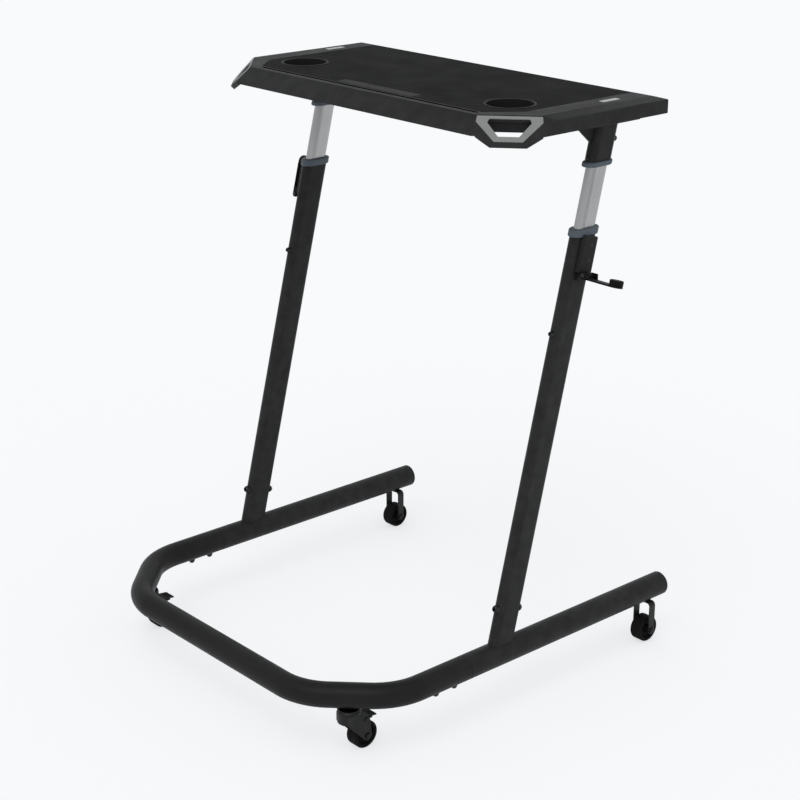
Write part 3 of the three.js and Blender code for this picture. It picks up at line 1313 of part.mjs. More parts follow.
function shaft(diameter, headDiameter, headWidth, seat) {
  const end = seat + headWidth;
  return turned([
    [0, -end],
    [headDiameter / 2, -end],
    [headDiameter / 2, -seat],
    [diameter / 2, -seat],
    [diameter / 2, seat],
    [headDiameter / 2, seat],
    [headDiameter / 2, end],
    [0, end],
  ], SMALL_SIDES).rotateY(Math.PI / 2);
}

const raceBottom = TUBE_BOTTOM - RACE_HEIGHT;
const crownTop = raceBottom - SEAT_GAP;
const crownBottom = crownTop - CROWN_HEIGHT;
const forkOuter = FORK_INNER_WIDTH / 2 + FORK_PLATE_THICKNESS;

function frontCasterStem() {
  const headTop = crownBottom - SEAT_GAP;
  return turned([
    [0, headTop - KING_PIN_HEAD_HEIGHT],
    [KING_PIN_HEAD_DIAMETER / 2, headTop - KING_PIN_HEAD_HEIGHT],
    [KING_PIN_HEAD_DIAMETER / 2, headTop],
    [KING_PIN_DIAMETER / 2, headTop],
    [KING_PIN_DIAMETER / 2, raceBottom],
    [RACE_DIAMETER / 2, raceBottom],
    [RACE_DIAMETER / 2, TUBE_BOTTOM],
    [STEM_DIAMETER / 2, TUBE_BOTTOM],
    [STEM_DIAMETER / 2, TUBE_BOTTOM + STEM_RISE],
    [0, TUBE_BOTTOM + STEM_RISE],
  ], TUBE_SIDES);
}

// Curved front wall of the fork, which joins its plates under the crown
function forkSkirt(top) {
  const ring = turnedRing([
    [RACE_DIAMETER / 2 - FORK_PLATE_THICKNESS, -FORK_SHOULDER_DROP],
    [RACE_DIAMETER / 2, -FORK_SHOULDER_DROP],
    [RACE_DIAMETER / 2, top],
    [RACE_DIAMETER / 2 - FORK_PLATE_THICKNESS, top],
  ], TUBE_SIDES);
  return cut(ring, block(
    -RACE_DIAMETER,
    RACE_DIAMETER,
    FORK_PLATE_THICKNESS - FORK_FRONT_REACH,
    RACE_DIAMETER,
    -FORK_SHOULDER_DROP - CUT_OVERRUN,
    top + CUT_OVERRUN,
  ));
}

// The brake's pin is riveted in the fork
function frontCasterFork() {
  const crown = turnedRing([
    [KING_PIN_DIAMETER / 2 + RUNNING_GAP, crownBottom],
    [RACE_DIAMETER / 2, crownBottom],
    [RACE_DIAMETER / 2, crownTop],
    [KING_PIN_DIAMETER / 2 + RUNNING_GAP, crownTop],
  ], TUBE_SIDES);
  const top = (crownTop + crownBottom) / 2;
  const side = new THREE.Shape();
  side.moveTo(-FORK_FRONT_REACH, top);
  side.lineTo(-FORK_FRONT_REACH, -FORK_SHOULDER_DROP);
  side.absarc(CASTER_TRAIL, -AXLE_DROP, FORK_EYE_RADIUS, -Math.PI * FORK_EYE_START_SHARE, 0, false);
  side.lineTo(FORK_REAR_REACH, -FORK_REAR_DROP);
  side.lineTo(FORK_FRONT_REACH, top);
  const forkInner = FORK_INNER_WIDTH / 2;
  const plates = [[-forkOuter, -forkInner], [forkInner, forkOuter]].map(([near, far]) => (
    alongX(side, near, far, OVAL_ARC_STEPS)
  ));
  const brakePin = shaft(BRAKE_PIN_DIAMETER, 2 * BRAKE_PIN_DIAMETER, FORK_PLATE_THICKNESS, forkOuter);
  return cut(
    join(crown, forkSkirt(top), ...plates, brakePin.translate(0, BRAKE_PIN_REACH, -BRAKE_PIN_DROP)),
    eyeHole(AXLE_DIAMETER + 2 * HOLE_GAP, CASTER_TRAIL, -AXLE_DROP, FORK_INNER_WIDTH),
  );
}

function frontAxle() {
  const axle = shaft(AXLE_DIAMETER, AXLE_HEAD_DIAMETER, AXLE_HEAD_WIDTH, forkOuter + SEAT_GAP);
  return axle.translate(0, CASTER_TRAIL, -AXLE_DROP);
}

function brakePedal() {
  const half = PEDAL_WIDTH / 2;
  const hub = disc(2 * PEDAL_HUB_RADIUS, -half, half).rotateY(Math.PI / 2);
  const tread = alongX(outline([
    [BRAKE_PIN_REACH, -PEDAL_TOP_DROP],
    [PEDAL_REACH, -PEDAL_TIP_DROP],
    [PEDAL_REACH, -PEDAL_TIP_DROP - PEDAL_THICKNESS],
    [BRAKE_PIN_REACH, -PEDAL_TOP_DROP - PEDAL_THICKNESS],
  ]), -half, half);
  const shoe = block(
    -SHOE_WIDTH / 2,
    SHOE_WIDTH / 2,
    SHOE_START,
    SHOE_END,
    -SHOE_DROP,
    -PEDAL_TIP_DROP - PEDAL_THICKNESS / 2,
  );
  return cut(
    join(hub.translate(0, BRAKE_PIN_REACH, -BRAKE_PIN_DROP), tread, shoe),
    eyeHole(BRAKE_PIN_DIAMETER + 2 * RUNNING_GAP, BRAKE_PIN_REACH, -BRAKE_PIN_DROP, PEDAL_WIDTH),
  );
}

// Bent strap with the bolt that holds it riveted in
function rearCasterFork() {
  const outer = STRAP_HALF_SPAN;
  const inner = outer - STRAP_THICKNESS;
  const foot = -AXLE_DROP - STRAP_WIDTH;
  const top = TUBE_BOTTOM;
  const bevelTurn = Math.PI / 4;
  const innerBevel = STRAP_BEVEL - STRAP_THICKNESS * Math.tan(bevelTurn / 2);
  const strap = alongY(outline([
    [-outer, foot],
    [-outer, top - STRAP_BEVEL],
    [-outer + STRAP_BEVEL, top],
    [outer - STRAP_BEVEL, top],
    [outer, top - STRAP_BEVEL],
    [outer, foot],
    [inner, foot],
    [inner, top - STRAP_THICKNESS - innerBevel],
    [inner - innerBevel, top - STRAP_THICKNESS],
    [-inner + innerBevel, top - STRAP_THICKNESS],
    [-inner, top - STRAP_THICKNESS - innerBevel],
    [-inner, foot],
  ]), -STRAP_WIDTH / 2, STRAP_WIDTH / 2);
  const rounded = new THREE.Shape();
  rounded.moveTo(-STRAP_WIDTH / 2, 0);
  rounded.lineTo(-STRAP_WIDTH / 2, -AXLE_DROP);
  rounded.absarc(0, -AXLE_DROP, STRAP_WIDTH / 2, Math.PI, 2 * Math.PI, false);
  rounded.lineTo(STRAP_WIDTH / 2, 0);
  const body = common(strap, alongX(rounded, -STRAP_SPACING, STRAP_SPACING, OVAL_ARC_STEPS));
  const bolt = domedScrew(
    STRAP_BOLT_DIAMETER,
    STRAP_THICKNESS + STRAP_BOLT_RISE,
    STRAP_BOLT_HEAD_DIAMETER,
    STRAP_BOLT_HEAD_HEIGHT,
  );
  return cut(
    join(body, bolt.rotateX(Math.PI).translate(0, 0, top - STRAP_THICKNESS)),
    eyeHole(AXLE_DIAMETER + 2 * HOLE_GAP, 0, -AXLE_DROP, STRAP_SPACING),
  );
}

function rearAxle() {
  return shaft(AXLE_DIAMETER, AXLE_HEAD_DIAMETER, AXLE_HEAD_WIDTH, STRAP_HALF_SPAN + SEAT_GAP);
}

// Scene graph
function piece(parent, name, geometry, look, x = 0, y = 0, z = 0) {
  const mesh = new THREE.Mesh(geometry, new THREE.MeshStandardMaterial(look));
  mesh.name = name;
  mesh.position.set(x, y, z);
  parent.add(mesh);
  return mesh;
}

function nested(parent, x = 0, y = 0, z = 0) {
  const group = new THREE.Group();
  group.position.set(x, y, z);
  parent.add(group);
  return group;
}

function addLeg(frame, side, name) {
  piece(frame, `rail_${name}`, rail(), powderBlack, side * RAIL_X);
  piece(frame, `rail_plug_${name}`, railPlug(), mouldedBlack, side * RAIL_X);
  piece(frame, `rail_bolts_${name}`, railBolts(), boltBlack, side * RAIL_X);
  const leg = nested(frame, side * RAIL_X, LEG_FOOT_Y);
  leg.rotation.x = -LEG_LEAN;
  piece(leg, `leg_tube_${name}`, legTube(side), powderBlack);
  piece(leg, `leg_bolt_${name}`, legBolt(), boltBlack);
  piece(leg, `guide_screw_${name}`, guideScrew(), boltBlack);
  piece(leg, `lower_collar_${name}`, lowerCollar(), collarGrey);
  piece(leg, `lock_housing_${name}`, lockHousing(side), powderBlack);
  piece(leg, `lever_pin_${name}`, leverPin(side), boltBlack);
  piece(leg, `inner_tube_${name}`, innerTube(), bareAluminium);
  piece(leg, `inner_bush_${name}`, innerBush(), mouldedBlack);
  piece(leg, `upper_collar_${name}`, upperCollar(), collarGrey);
  piece(leg, `upper_tube_${name}`, upperTube(), powderBlack);
  addLever(leg, side, name);
}

// The right lever is drawn open, the left one is folded up along its leg
function addLever(leg, side, name) {
  const lock = nested(leg, side * PIVOT_X, 0, PIVOT_HEIGHT);
  const lever = nested(lock);
  const plunger = nested(lock);
  if (side < 0) {
    lever.rotation.set(0, Math.PI / 2, Math.PI);
    plunger.rotation.y = Math.PI;
    plunger.position.x = CAM_LIFT;
  }
  piece(lever, `lock_lever_${name}`, lockLever(), powderBlack);
  piece(lever, `lever_knob_${name}`, leverKnob(), mouldedBlack);
  piece(plunger, `lock_pad_${name}`, lockPad(), mouldedBlack);
}

function addFrontCaster(frame, side, name) {
  const caster = nested(frame, side * CASTER_X, CASTER_Y);
  const bossWidth = FORK_INNER_WIDTH - 2 * SEAT_GAP;
  piece(caster, `front_caster_stem_${name}`, frontCasterStem(), platedSteel);
  piece(caster, `front_caster_fork_${name}`, frontCasterFork(), casterBlack);
  piece(caster, `front_caster_axle_${name}`, frontAxle(), platedSteel);
  piece(caster, `front_caster_wheel_${name}`, wheel(bossWidth), tyreBlack, 0, CASTER_TRAIL, -AXLE_DROP);
  piece(caster, `brake_pedal_${name}`, brakePedal(), mouldedBlack);
}

function addRearCaster(frame, side, name) {
  const caster = nested(frame, side * RAIL_X, REAR_CASTER_Y);
  const bossWidth = 2 * (STRAP_HALF_SPAN - STRAP_THICKNESS - SEAT_GAP);
  piece(caster, `rear_caster_fork_${name}`, rearCasterFork(), casterBlack);
  piece(caster, `rear_caster_axle_${name}`, rearAxle(), platedSteel, 0, 0, -AXLE_DROP);
  piece(caster, `rear_caster_wheel_${name}`, wheel(bossWidth), tyreBlack, 0, 0, -AXLE_DROP);
}

function addDesk(frame) {
  piece(frame, 'desk_frame', deskFrame(), mouldedBlack);
  piece(frame, 'desk_base_panel', deskBasePanel(), boardBlack);
  piece(frame, 'desk_mat', deskMat(), matBlack);
  piece(frame, 'tablet_strip', tabletStrip(), stripGrey);
  for (const [side, name] of SIDES) {
    piece(frame, `cup_liner_${name}`, cupLiner(), cupBlack, side * CUP_X, CUP_Y);
    piece(frame, `handle_trim_${name}`, handleTrim(side), trimGrey);
    piece(frame, `inlay_plate_${name}`, inlayPlate(side), silver);
  }
}

// The origin is on the floor, under the middle of the whole outline with the right lever open
const SIDES = [[-1, 'left'], [1, 'right']];
const trainerDesk = new THREE.Group();
const frame = nested(
  trainerDesk,
  (DESK_HALF_WIDTH - LEVER_REACH) / 2,
  (BASE_TUBE_RADIUS - RAIL_END_Y) / 2,
  FLOOR_HEIGHT,
);
piece(frame, 'base_front_tube', baseFrontTube(), powderBlack);
for (const [side, name] of SIDES) {
  addLeg(frame, side, name);
  addFrontCaster(frame, side, name);
  addRearCaster(frame, side, name);
}
addDesk(frame);

export default trainerDesk;
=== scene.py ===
from math import asin, cos, pi, radians, sin, sqrt, tan

import bmesh
import bpy
from mathutils import Matrix, Vector


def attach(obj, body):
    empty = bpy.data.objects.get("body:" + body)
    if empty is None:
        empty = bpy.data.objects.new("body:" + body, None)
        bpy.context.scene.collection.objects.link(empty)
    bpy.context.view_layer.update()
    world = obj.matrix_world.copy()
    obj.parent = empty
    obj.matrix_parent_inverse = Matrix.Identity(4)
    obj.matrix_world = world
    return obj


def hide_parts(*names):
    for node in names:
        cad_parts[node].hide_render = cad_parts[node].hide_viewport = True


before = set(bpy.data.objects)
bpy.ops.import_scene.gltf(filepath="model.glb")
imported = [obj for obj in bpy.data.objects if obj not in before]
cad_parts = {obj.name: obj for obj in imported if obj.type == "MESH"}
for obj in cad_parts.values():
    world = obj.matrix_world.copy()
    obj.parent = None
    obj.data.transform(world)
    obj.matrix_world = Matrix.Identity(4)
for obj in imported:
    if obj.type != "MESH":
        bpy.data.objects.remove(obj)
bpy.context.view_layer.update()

# Bike trainer desk, in metres, +Z up, the rider's side at +Y.
# Heights in the base frame count from the centre line of the base tube.

# Fits and edges. GAP is between resting pieces, and PLAY between moving ones.
GAP = 0.0003
PLAY = 0.00025
WELD_DISTANCE = 0.000001
CAD_WELD_DISTANCE = WELD_DISTANCE * 10
SHARP_ANGLE = radians(38)
FLAT_ANGLE = radians(0.5)
EDGE = 0.0004
BROAD_EDGE = EDGE * 1.5
ROUND_EDGE = EDGE * 3

# Sockets as shares of their screw heads. Every head is given as (radius, height).
SOCKET_HALF_SHARE = 0.42
SOCKET_RIM_SHARE = 1.35
SOCKET_DEPTH_SHARE = 0.55

# Base frame
RAIL_X = 0.360
TUBE_RADIUS = 0.02235
TUBE_WALL = 0.0015
CORNER_CUT = 0.1178
BEND_RADIUS = 0.1164
SEAM_Y = 0.270
RAIL_END_Y = 0.784
NECK_LENGTH = 0.100
PLUG_CAP_LENGTH = 0.002
PLUG_INSERT_LENGTH = 0.018
PLUG_EDGE = 0.0011
PLUG_DISH_DEPTH = 0.0007
PLUG_DISH_RADIUS = 0.0172
RAIL_BOLT_YS = (0.204, 0.247)
RAIL_BOLT_HEAD = (0.0065, 0.009)

# Legs
LEG_FOOT_Y = 0.3534
LEAN = radians(13.93)
LEG_RADIUS = 0.012
LEG_MIDDLE = 0.014
LEG_WALL = 0.0012
LEG_TOP = 0.752
SPIGOT_WALL = 0.0015
SPIGOT_TOP = 0.120
LEG_BOLT_HEIGHT = 0.084
LEG_BOLT_HEAD = (0.0075, 0.009)
GUIDE_SCREW_HEIGHT = 0.578
GUIDE_SCREW_HEAD = (0.0055, 0.008)
GUIDE_SCREW_SHANK = 0.0025
GUIDE_SCREW_LENGTH = 0.0062

# Inner tubes
INNER_RADIUS = 0.0093
INNER_MIDDLE = 0.01205
INNER_WALL = 0.0015
INNER_BOTTOM = 0.396
INNER_TOP = 0.935
GROOVE_HALF_WIDTH = 0.0004
GROOVE_DEPTH = 0.0004
GROOVE_OFFSETS = (-0.0152, -0.0126, -0.0100)
GUIDE_SLOT_LOW = 0.428
GUIDE_SLOT_HIGH = 0.674
GUIDE_SLOT_RADIUS = 0.00285

# Collars
COLLAR_PROUD = 0.0035
COLLAR_EDGE = 0.0026
LOWER_COLLAR_HEIGHT = 0.014
LOWER_SLEEVE_LENGTH = 0.051
UPPER_COLLAR_BOTTOM = 0.871
UPPER_COLLAR_HEIGHT = 0.009

# Sockets under the desk
PLATE_THICKNESS = 0.003
PLATE_HALF_WIDTH = 0.032
PLATE_FRONT_Y = 0.508
PLATE_REAR_Y = 0.634
PLATE_SCREW_MARGIN = 0.009
PLATE_SCREW_HEAD = (0.0036, 0.0018)
GUSSET_HALF = 0.002
GUSSET_FOOT = 0.905
# Height along the leg, then the head
FRONT_SOCKET_SCREW = (0.87955, 0.00375, 0.0028)
REAR_SOCKET_SCREW = (0.920, 0.005, 0.008)
SEAM_BEAD = 0.0018
SEAM_RIPPLE = SEAM_BEAD / 8
SEAM_STEPS = (0, 0.5, 1)

# Cam locks
LOCK_PROUD = 0.0102
LOCK_HALF_WIDTH = 0.0155
LOCK_BOTTOM = 0.690
LOCK_TOP = 0.7537
LOCK_BEVEL = 0.0015
LOCK_FOOT_BOTTOM = 0.675
LOCK_FOOT_PROUD = 0.0065
LOCK_FOOT_OVERLAP = 0.004
LUG_THICKNESS = 0.0025
LUG_RADIUS = 0.005
LUG_OUTER = 0.00925
LOCK_SCREW_HEIGHTS = (0.712, 0.739)
LOCK_SCREW_BACK = 0.002
LOCK_SCREW_HEAD = (0.0034, 0.0009)
PIVOT_OUT = 0.0172
PIVOT_HEIGHT = 0.687
PIVOT_HALF = 0.0128
PIVOT_SHANK_RADIUS = 0.0025
PIVOT_HEAD_RADIUS = 0.004
PIVOT_HEAD_HEIGHT = 0.0015
EAR_RADIUS = 0.0063
EAR_THICKNESS = 0.003
EAR_REACH = 0.014
EAR_FLAT = 0.012
LEVER_HALF_WIDTH = 0.0125
LEVER_THICKNESS = 0.0032
LEVER_START = 0.008
GRIP_REACH = 0.065
GRIP_RADIUS = 0.012
GRIP_DISH_RADIUS = 0.0085
GRIP_DISH_DEPTH = 0.0006
LEVER_TIP_RADIUS = 0.012
CAM_RADIUS = 0.006
CAM_HALF = 0.0065

# Desktop
DESK_TOP = 0.9514
DESK_BOTTOM = 0.9220
DESK_HALF_WIDTH = 0.4006
DESK_REAR_Y = 0.692
DESK_EDGE = 0.0016
DESK_SEAT_EDGE = 0.00035
DESK_LONG_EDGE = 0.030
DESK_SHARP_ANGLE = radians(6)
RIM_START_SIDE = 0.03
RIM_START_REAR = 0.001
RIM_START_FRONT = 0.018
INLAY_ZONE = (0.008, 0.022)
HANDLE_ZONE = (0.30, 0.42)
PANEL_THICKNESS = 0.006
PANEL_MARGIN = 0.024
SLOT_Y = 0.353
SLOT_HALF_WIDTH = 0.00375
SLOT_DEPTH = 0.012
# Thickness of the near-black sheet that paints the shade inside the tablet slot
SLOT_SHADE_SHEET_THICKNESS = 0.0003
SLOT_LIP = 0.0003
# Outlines of slot and strip: left, right, front, rear and corner radius
SLOT = (-0.280, 0.289, SLOT_Y - SLOT_HALF_WIDTH, SLOT_Y + SLOT_HALF_WIDTH, SLOT_HALF_WIDTH / 4)
STRIP = (-0.083, 0.115, 0.364, 0.388, 0.0015)
STRIP_THICKNESS = 0.001
MAT_THICKNESS = 0.002
MAT_HALF_WIDTH = 0.336
MAT_FRONT_Y = 0.360
MAT_REAR_Y = 0.672
# Outlines of mat and board: half width, front, rear, both lengths of a cut corner, radius
MAT = (MAT_HALF_WIDTH, MAT_FRONT_Y, MAT_REAR_Y, 0.044, 0.054, 0.003)
PANEL_REAR_Y = DESK_REAR_Y - PANEL_MARGIN
PANEL = (DESK_HALF_WIDTH - PANEL_MARGIN, 0.404, PANEL_REAR_Y, 0.040, 0.040, EDGE * 5)
INLAY_X = 0.359
INLAY_Y = 0.5904
INLAY_HALF_LENGTH = 0.0205
INLAY_HALF_WIDTH = 0.006
INLAY_THICKNESS = 0.0016
INLAY_PROUD = 0.0003
INLAY_CORNER_RADIUS = 0.0012
CUP_X = 0.2709
CUP_Y = 0.4443
CUP_RING_RADIUS = 0.0447
CUP_BORE_RADIUS = 0.0401
CUP_WALL = 0.002
CUP_DEPTH = 0.020
CUP_RING_PROUD = 0.0008
CUP_FLOOR_RADIUS = 0.0026
TRIM_EDGE = 0.0006

# Casters
WHEEL_RADIUS = 0.025
WHEEL_HALF_WIDTH = 0.012
WHEEL_RIM_THICKNESS = 0.006
WHEEL_RECESS = 0.005
WHEEL_BOSS_RADIUS = 0.0075
WHEEL_TREAD_EDGE = 0.0024
WHEEL_LINE_HALF = 0.0004
WHEEL_LINE_DEPTH = 0.0004
AXLE_DROP = 0.0817
AXLE_RADIUS = 0.003
AXLE_HEAD_RADIUS = 0.0055
AXLE_HEAD_WIDTH = 0.0032
SHAFT_SIDE_SHARE = 0.6
SHAFT_CROWN_SHARE = 0.8
CASTER_X = 0.301
CASTER_Y = CORNER_CUT - (RAIL_X - CASTER_X)
CASTER_TRAIL = 0.028
RACE_RADIUS = 0.0205
RACE_HEIGHT = 0.0056
CROWN_HEIGHT = 0.0054
RACE_GROOVE = 0.0008
STEM_RADIUS = 0.0045
STEM_RISE = 0.012
KING_PIN_RADIUS = 0.004
KING_PIN_HEAD_RADIUS = 0.007
KING_PIN_HEAD_HEIGHT = 0.0024
FORK_PLATE = 0.0022
FORK_INNER = 0.0143
FORK_EYE_RADIUS = 0.009
FORK_EYE_START = -pi * 0.8
FORK_SHOULDER_DROP = 0.049
FORK_REAR_REACH = 0.033
FORK_REAR_DROP = 0.049
BRAKE_PIN_RADIUS = 0.002
BRAKE_PIN_REACH = 0.025
BRAKE_PIN_DROP = 0.049
PEDAL_HALF_WIDTH = 0.013
PEDAL_HUB_RADIUS = 0.0045
PEDAL_REACH = 0.0505
PEDAL_TOP_DROP = 0.0448
PEDAL_TIP_DROP = 0.048
PEDAL_THICKNESS = 0.0028
RIB_RISE = 0.0006
PEDAL_RIBS = (0.038, 0.041, 0.044, 0.047)
SHOE_START = 0.036
SHOE_END = 0.044
SHOE_DROP = 0.0545
SHOE_HALF_WIDTH = 0.010
REAR_CASTER_Y = 0.745
STRAP_HALF_SPAN = 0.02025
STRAP_THICKNESS = 0.0025
STRAP_HALF_WIDTH = 0.0075
STRAP_BEND = 0.008
STRAP_BOLT_HEAD = (0.006, 0.004)

# How finely round shapes are divided
ROUND_SIDES = 64
SMALL_SIDES = 24
CUP_SIDES = 96
BEND_STEPS = 20
ARC_STEPS = 18
FILLET_STEPS = 4
DOME_STEPS = 8
BEVEL_SEGMENTS = 3
BEVEL_PROFILE = 0.5
FILLET_LIMIT = 2.01

# Camera and stage. The camera follows from the photograph's perspective.
CAMERA_PLACE = (2.3653, -2.0639, 1.6327)
CAMERA_TURN = (radians(69.94), 0, radians(48.47))
CAMERA_LENS = 82.1
CAMERA_SENSOR = 36
FLOOR_HALF = 14
FLOOR_DROP = 0.0002
FLOOR_COLOR = (0.965, 0.968, 0.975, 1)
FLOOR_ROUGHNESS = 0.9
FLOOR_SEEN = (0.946, 0.955, 0.973, 1)
FLOOR_LIFT = 0.7
SKY_COLOR = (0.97, 0.985, 1, 1)
SKY_STRENGTH = 0.78
SUN_STRENGTH = 0.8
SUN_SPREAD = radians(40)
SUN_TURN = (radians(28), radians(14), 0)

# Places that follow
FLOOR_HEIGHT = AXLE_DROP + WHEEL_RADIUS
BORE_RADIUS = TUBE_RADIUS - TUBE_WALL
LEVER_REACH = RAIL_X + LEG_RADIUS + PIVOT_OUT + GRIP_REACH + LEVER_TIP_RADIUS
PIVOT_X = LEG_RADIUS + PIVOT_OUT
TUBE_BOTTOM = -TUBE_RADIUS - GAP
RACE_BOTTOM = TUBE_BOTTOM - RACE_HEIGHT
CROWN_TOP = RACE_BOTTOM - GAP
CROWN_BOTTOM = CROWN_TOP - CROWN_HEIGHT
FORK_FRONT_REACH = sqrt(RACE_RADIUS ** 2 - FORK_INNER ** 2)
PLATE_TOP = DESK_BOTTOM - GAP
SIDES = ((-1, "left"), (1, "right"))
BASE = Matrix.Translation((
    (DESK_HALF_WIDTH - LEVER_REACH) / 2,
    (TUBE_RADIUS - RAIL_END_Y) / 2,
    FLOOR_HEIGHT,
))
Z_TO_Y = Matrix.Rotation(-pi / 2, 4, "X")
Z_TO_X = Matrix.Rotation(pi / 2, 4, "Y")
Z_DOWN = Matrix.Rotation(pi, 4, "X")
LEANING = Matrix.Rotation(-LEAN, 4, "X")
LEVEL_ENDS = Matrix(((1, 0, 0, 0), (0, 1, 0, 0), (0, tan(LEAN), 1, 0), (0, 0, 0, 1)))


def place(x=0, y=0, z=0):
    return Matrix.Translation((x, y, z))


def leg_matrix(side):
    return BASE @ place(side * RAIL_X, LEG_FOOT_Y) @ LEANING


# Materials. Scales are cells per metre, and steps are in greys of 0 to 255.
NOISE_LOW = 0.3
NOISE_HIGH = 0.7
CLOUD_SCALE = 9
CLOUD_STEP = 2
SPECK_SHARE = 0.35
SPECK_STEP = 7
WORN_STEP = 34
WORN_SCALE = 45
WORN_LEAST = 0.2
WORN_POINTINESS = (0.51, 0.60)
SMEAR_SCALE = 24
SMEAR_SPREAD = 0.05
GRAIN_STRENGTH = 0.5
DIMPLE_SHARE = 0.4
DIMPLE_STRENGTH = 0.35
MAT_SPECULAR = 0.03
MAT_THREADS = 310
MAT_CLOUD_SCALE = 5
MAT_CLOUD_STEP = 1
MAT_THREAD_SHARE = 0.5
MAT_THREAD_STEP = 8
MAT_SHEEN_SCALE = 14
MAT_ROUGHNESS = (0.62, 0.74)
MAT_BUMP = (0.00012, 0.6)
MAT_FUZZ_SCALE = 1800
MAT_FUZZ_BUMP = (0.00005, 0.4)
METAL_CLOUD_SCALE = 16
METAL_CLOUD = (0.97, 1.03)
METAL_LINE_BLUR = 0.6
METAL_LINE_LEVEL = 0.85
METAL_LINE_SHARE = 0.45
METAL_LINE_ROUGHNESS = (-0.06, 0.08)
METAL_BUMP = (0.00003, 0.5)

# Grey level, its blue, roughness, grain scale, grain depth, wear of the edges, specular
COATS = {
    "powder_black": (29, 0, 0.42, 1300, 0.00009, 0.35, 0.1),
    "caster_black": (27, 0, 0.40, 1500, 0.00005, 0.5, 0.15),
    "bolt_black": (10, 0, 0.2, 2200, 0.00003, 0.6, 0.35),
    "lever_black": (14, 0, 0.45, 1300, 0.00007, 0.4, 0.06),
    "moulded_black": (35, 0, 0.50, 1000, 0.00010, 0.25, 0.06),
    "cup_black": (34, 0, 0.5, 1200, 0.00006, 0.25, 0.06),
    # Painted shade: near black, for the sheet that stands for the shade inside the tablet slot
    "slot_painted_shade": (6, 0, 0.7, 1200, 0.00006, 0.1, 0.02),
    "collar_grey": (80, 15, 0.5, 1400, 0.00006, 0.2, 0.15),
    "trim_grey": (129, 0, 0.48, 1400, 0.00006, 0.2, 0.1),
    "strip_grey": (54, 0, 0.62, 1600, 0.00005, 0.1, 0.03),
    "board_black": (26, 0, 0.7, 600, 0.00014, 0.3, 0.05),
    "tyre_black": (14, 0, 0.66, 1100, 0.00012, 0.2, 0.08),
}
MAT_LEVEL = 23
# Grey level, roughness, turn of the lines about x, their width and length
METALS = {
    "aluminium": (173, 0.34, -LEAN, 0.0006, 0.2),
    "plated_steel": (48, 0.32, 0, 0.0012, 0.0012),
    "silver": (186, 0.26, 0, 0.0006, 0.0006),
}


def grey(level, blue=0):
    """Linear colour of a grey given in 0 to 255, by the sRGB curve. blue makes it cooler."""
    def linear(value):
        share = value / 255
        return share / 12.92 if share < 0.04045 else ((share + 0.055) / 1.055) ** 2.4
    return (linear(level), linear(level + blue / 2), linear(level + blue), 1)


class Look:
    """A procedural material, built from noise in the object's own metres."""

    def __init__(self, name, metallic=0, specular=0.5):
        self.material = bpy.data.materials.new(name)
        self.material.use_nodes = True
        self.tree = self.material.node_tree
        self.shader = self.tree.nodes["Principled BSDF"]
        self.feed(self.shader, {"Metallic": metallic, "Specular IOR Level": specular})
        self.place = self.node("ShaderNodeTexCoord").outputs["Object"]

    def feed(self, node, inputs):
        """Sets a node's inputs, or links them where the value is another node's output."""
        for name, value in inputs.items():
            if isinstance(value, bpy.types.NodeSocket):
                self.tree.links.new(value, node.inputs[name])
            else:
                node.inputs[name].default_value = value

    def node(self, kind, inputs=None, **settings):
        made = self.tree.nodes.new(kind)
        for name, value in settings.items():
            setattr(made, name, value)
        self.feed(made, inputs or {})
        return made

    def texture(self, kind, output, inputs, **settings):
        inputs = {"Vector": self.place, **inputs}
        return self.node(f"ShaderNodeTex{kind}", inputs, **settings).outputs[output]

    def noise(self, scale, detail=3, **inputs):
        return self.texture("Noise", "Fac", {"Scale": scale, "Detail": detail, **inputs})

    def bands(self, scale, direction):
        return self.texture("Wave", "Fac", {"Scale": scale}, bands_direction=direction)

    def product(self, first, second):
        return self.node("ShaderNodeMath", {0: first, 1: second}, operation="MULTIPLY").outputs[0]

    def ranged(self, value, low, high, from_low=NOISE_LOW, from_high=NOISE_HIGH):
        inputs = {"Value": value, "From Min": from_low, "From Max": from_high}
        inputs.update({"To Min": low, "To Max": high})
        return self.node("ShaderNodeMapRange", inputs).outputs["Result"]

    def mixed(self, factor, first, second):
        made = self.node("ShaderNodeMix", {"Factor": factor}, data_type="RGBA")
        slots = [i for i, socket in enumerate(made.inputs) if socket.type == "RGBA"]
        self.feed(made, dict(zip(slots, (first, second))))
        return [socket for socket in made.outputs if socket.type == "RGBA"][0]

    def worn_edges(self, amount):
        """How much a place is an outer edge, where handling has polished it."""
        pointed = self.node("ShaderNodeNewGeometry").outputs["Pointiness"]
        edge = self.ranged(pointed, 0, amount, *WORN_POINTINESS)
        return self.product(edge, self.ranged(self.noise(WORN_SCALE, 4), WORN_LEAST, 1))

    def surface(self, color, roughness):
        self.feed(self.shader, {"Base Color": color, "Roughness": roughness})

    def bump(self, height, distance, strength, over=None):
        inputs = {"Height": height, "Distance": distance, "Strength": strength}
        if over is not None:
            inputs["Normal"] = over
        normal = self.node("ShaderNodeBump", inputs).outputs["Normal"]
        self.feed(self.shader, {"Normal": normal})
        return normal


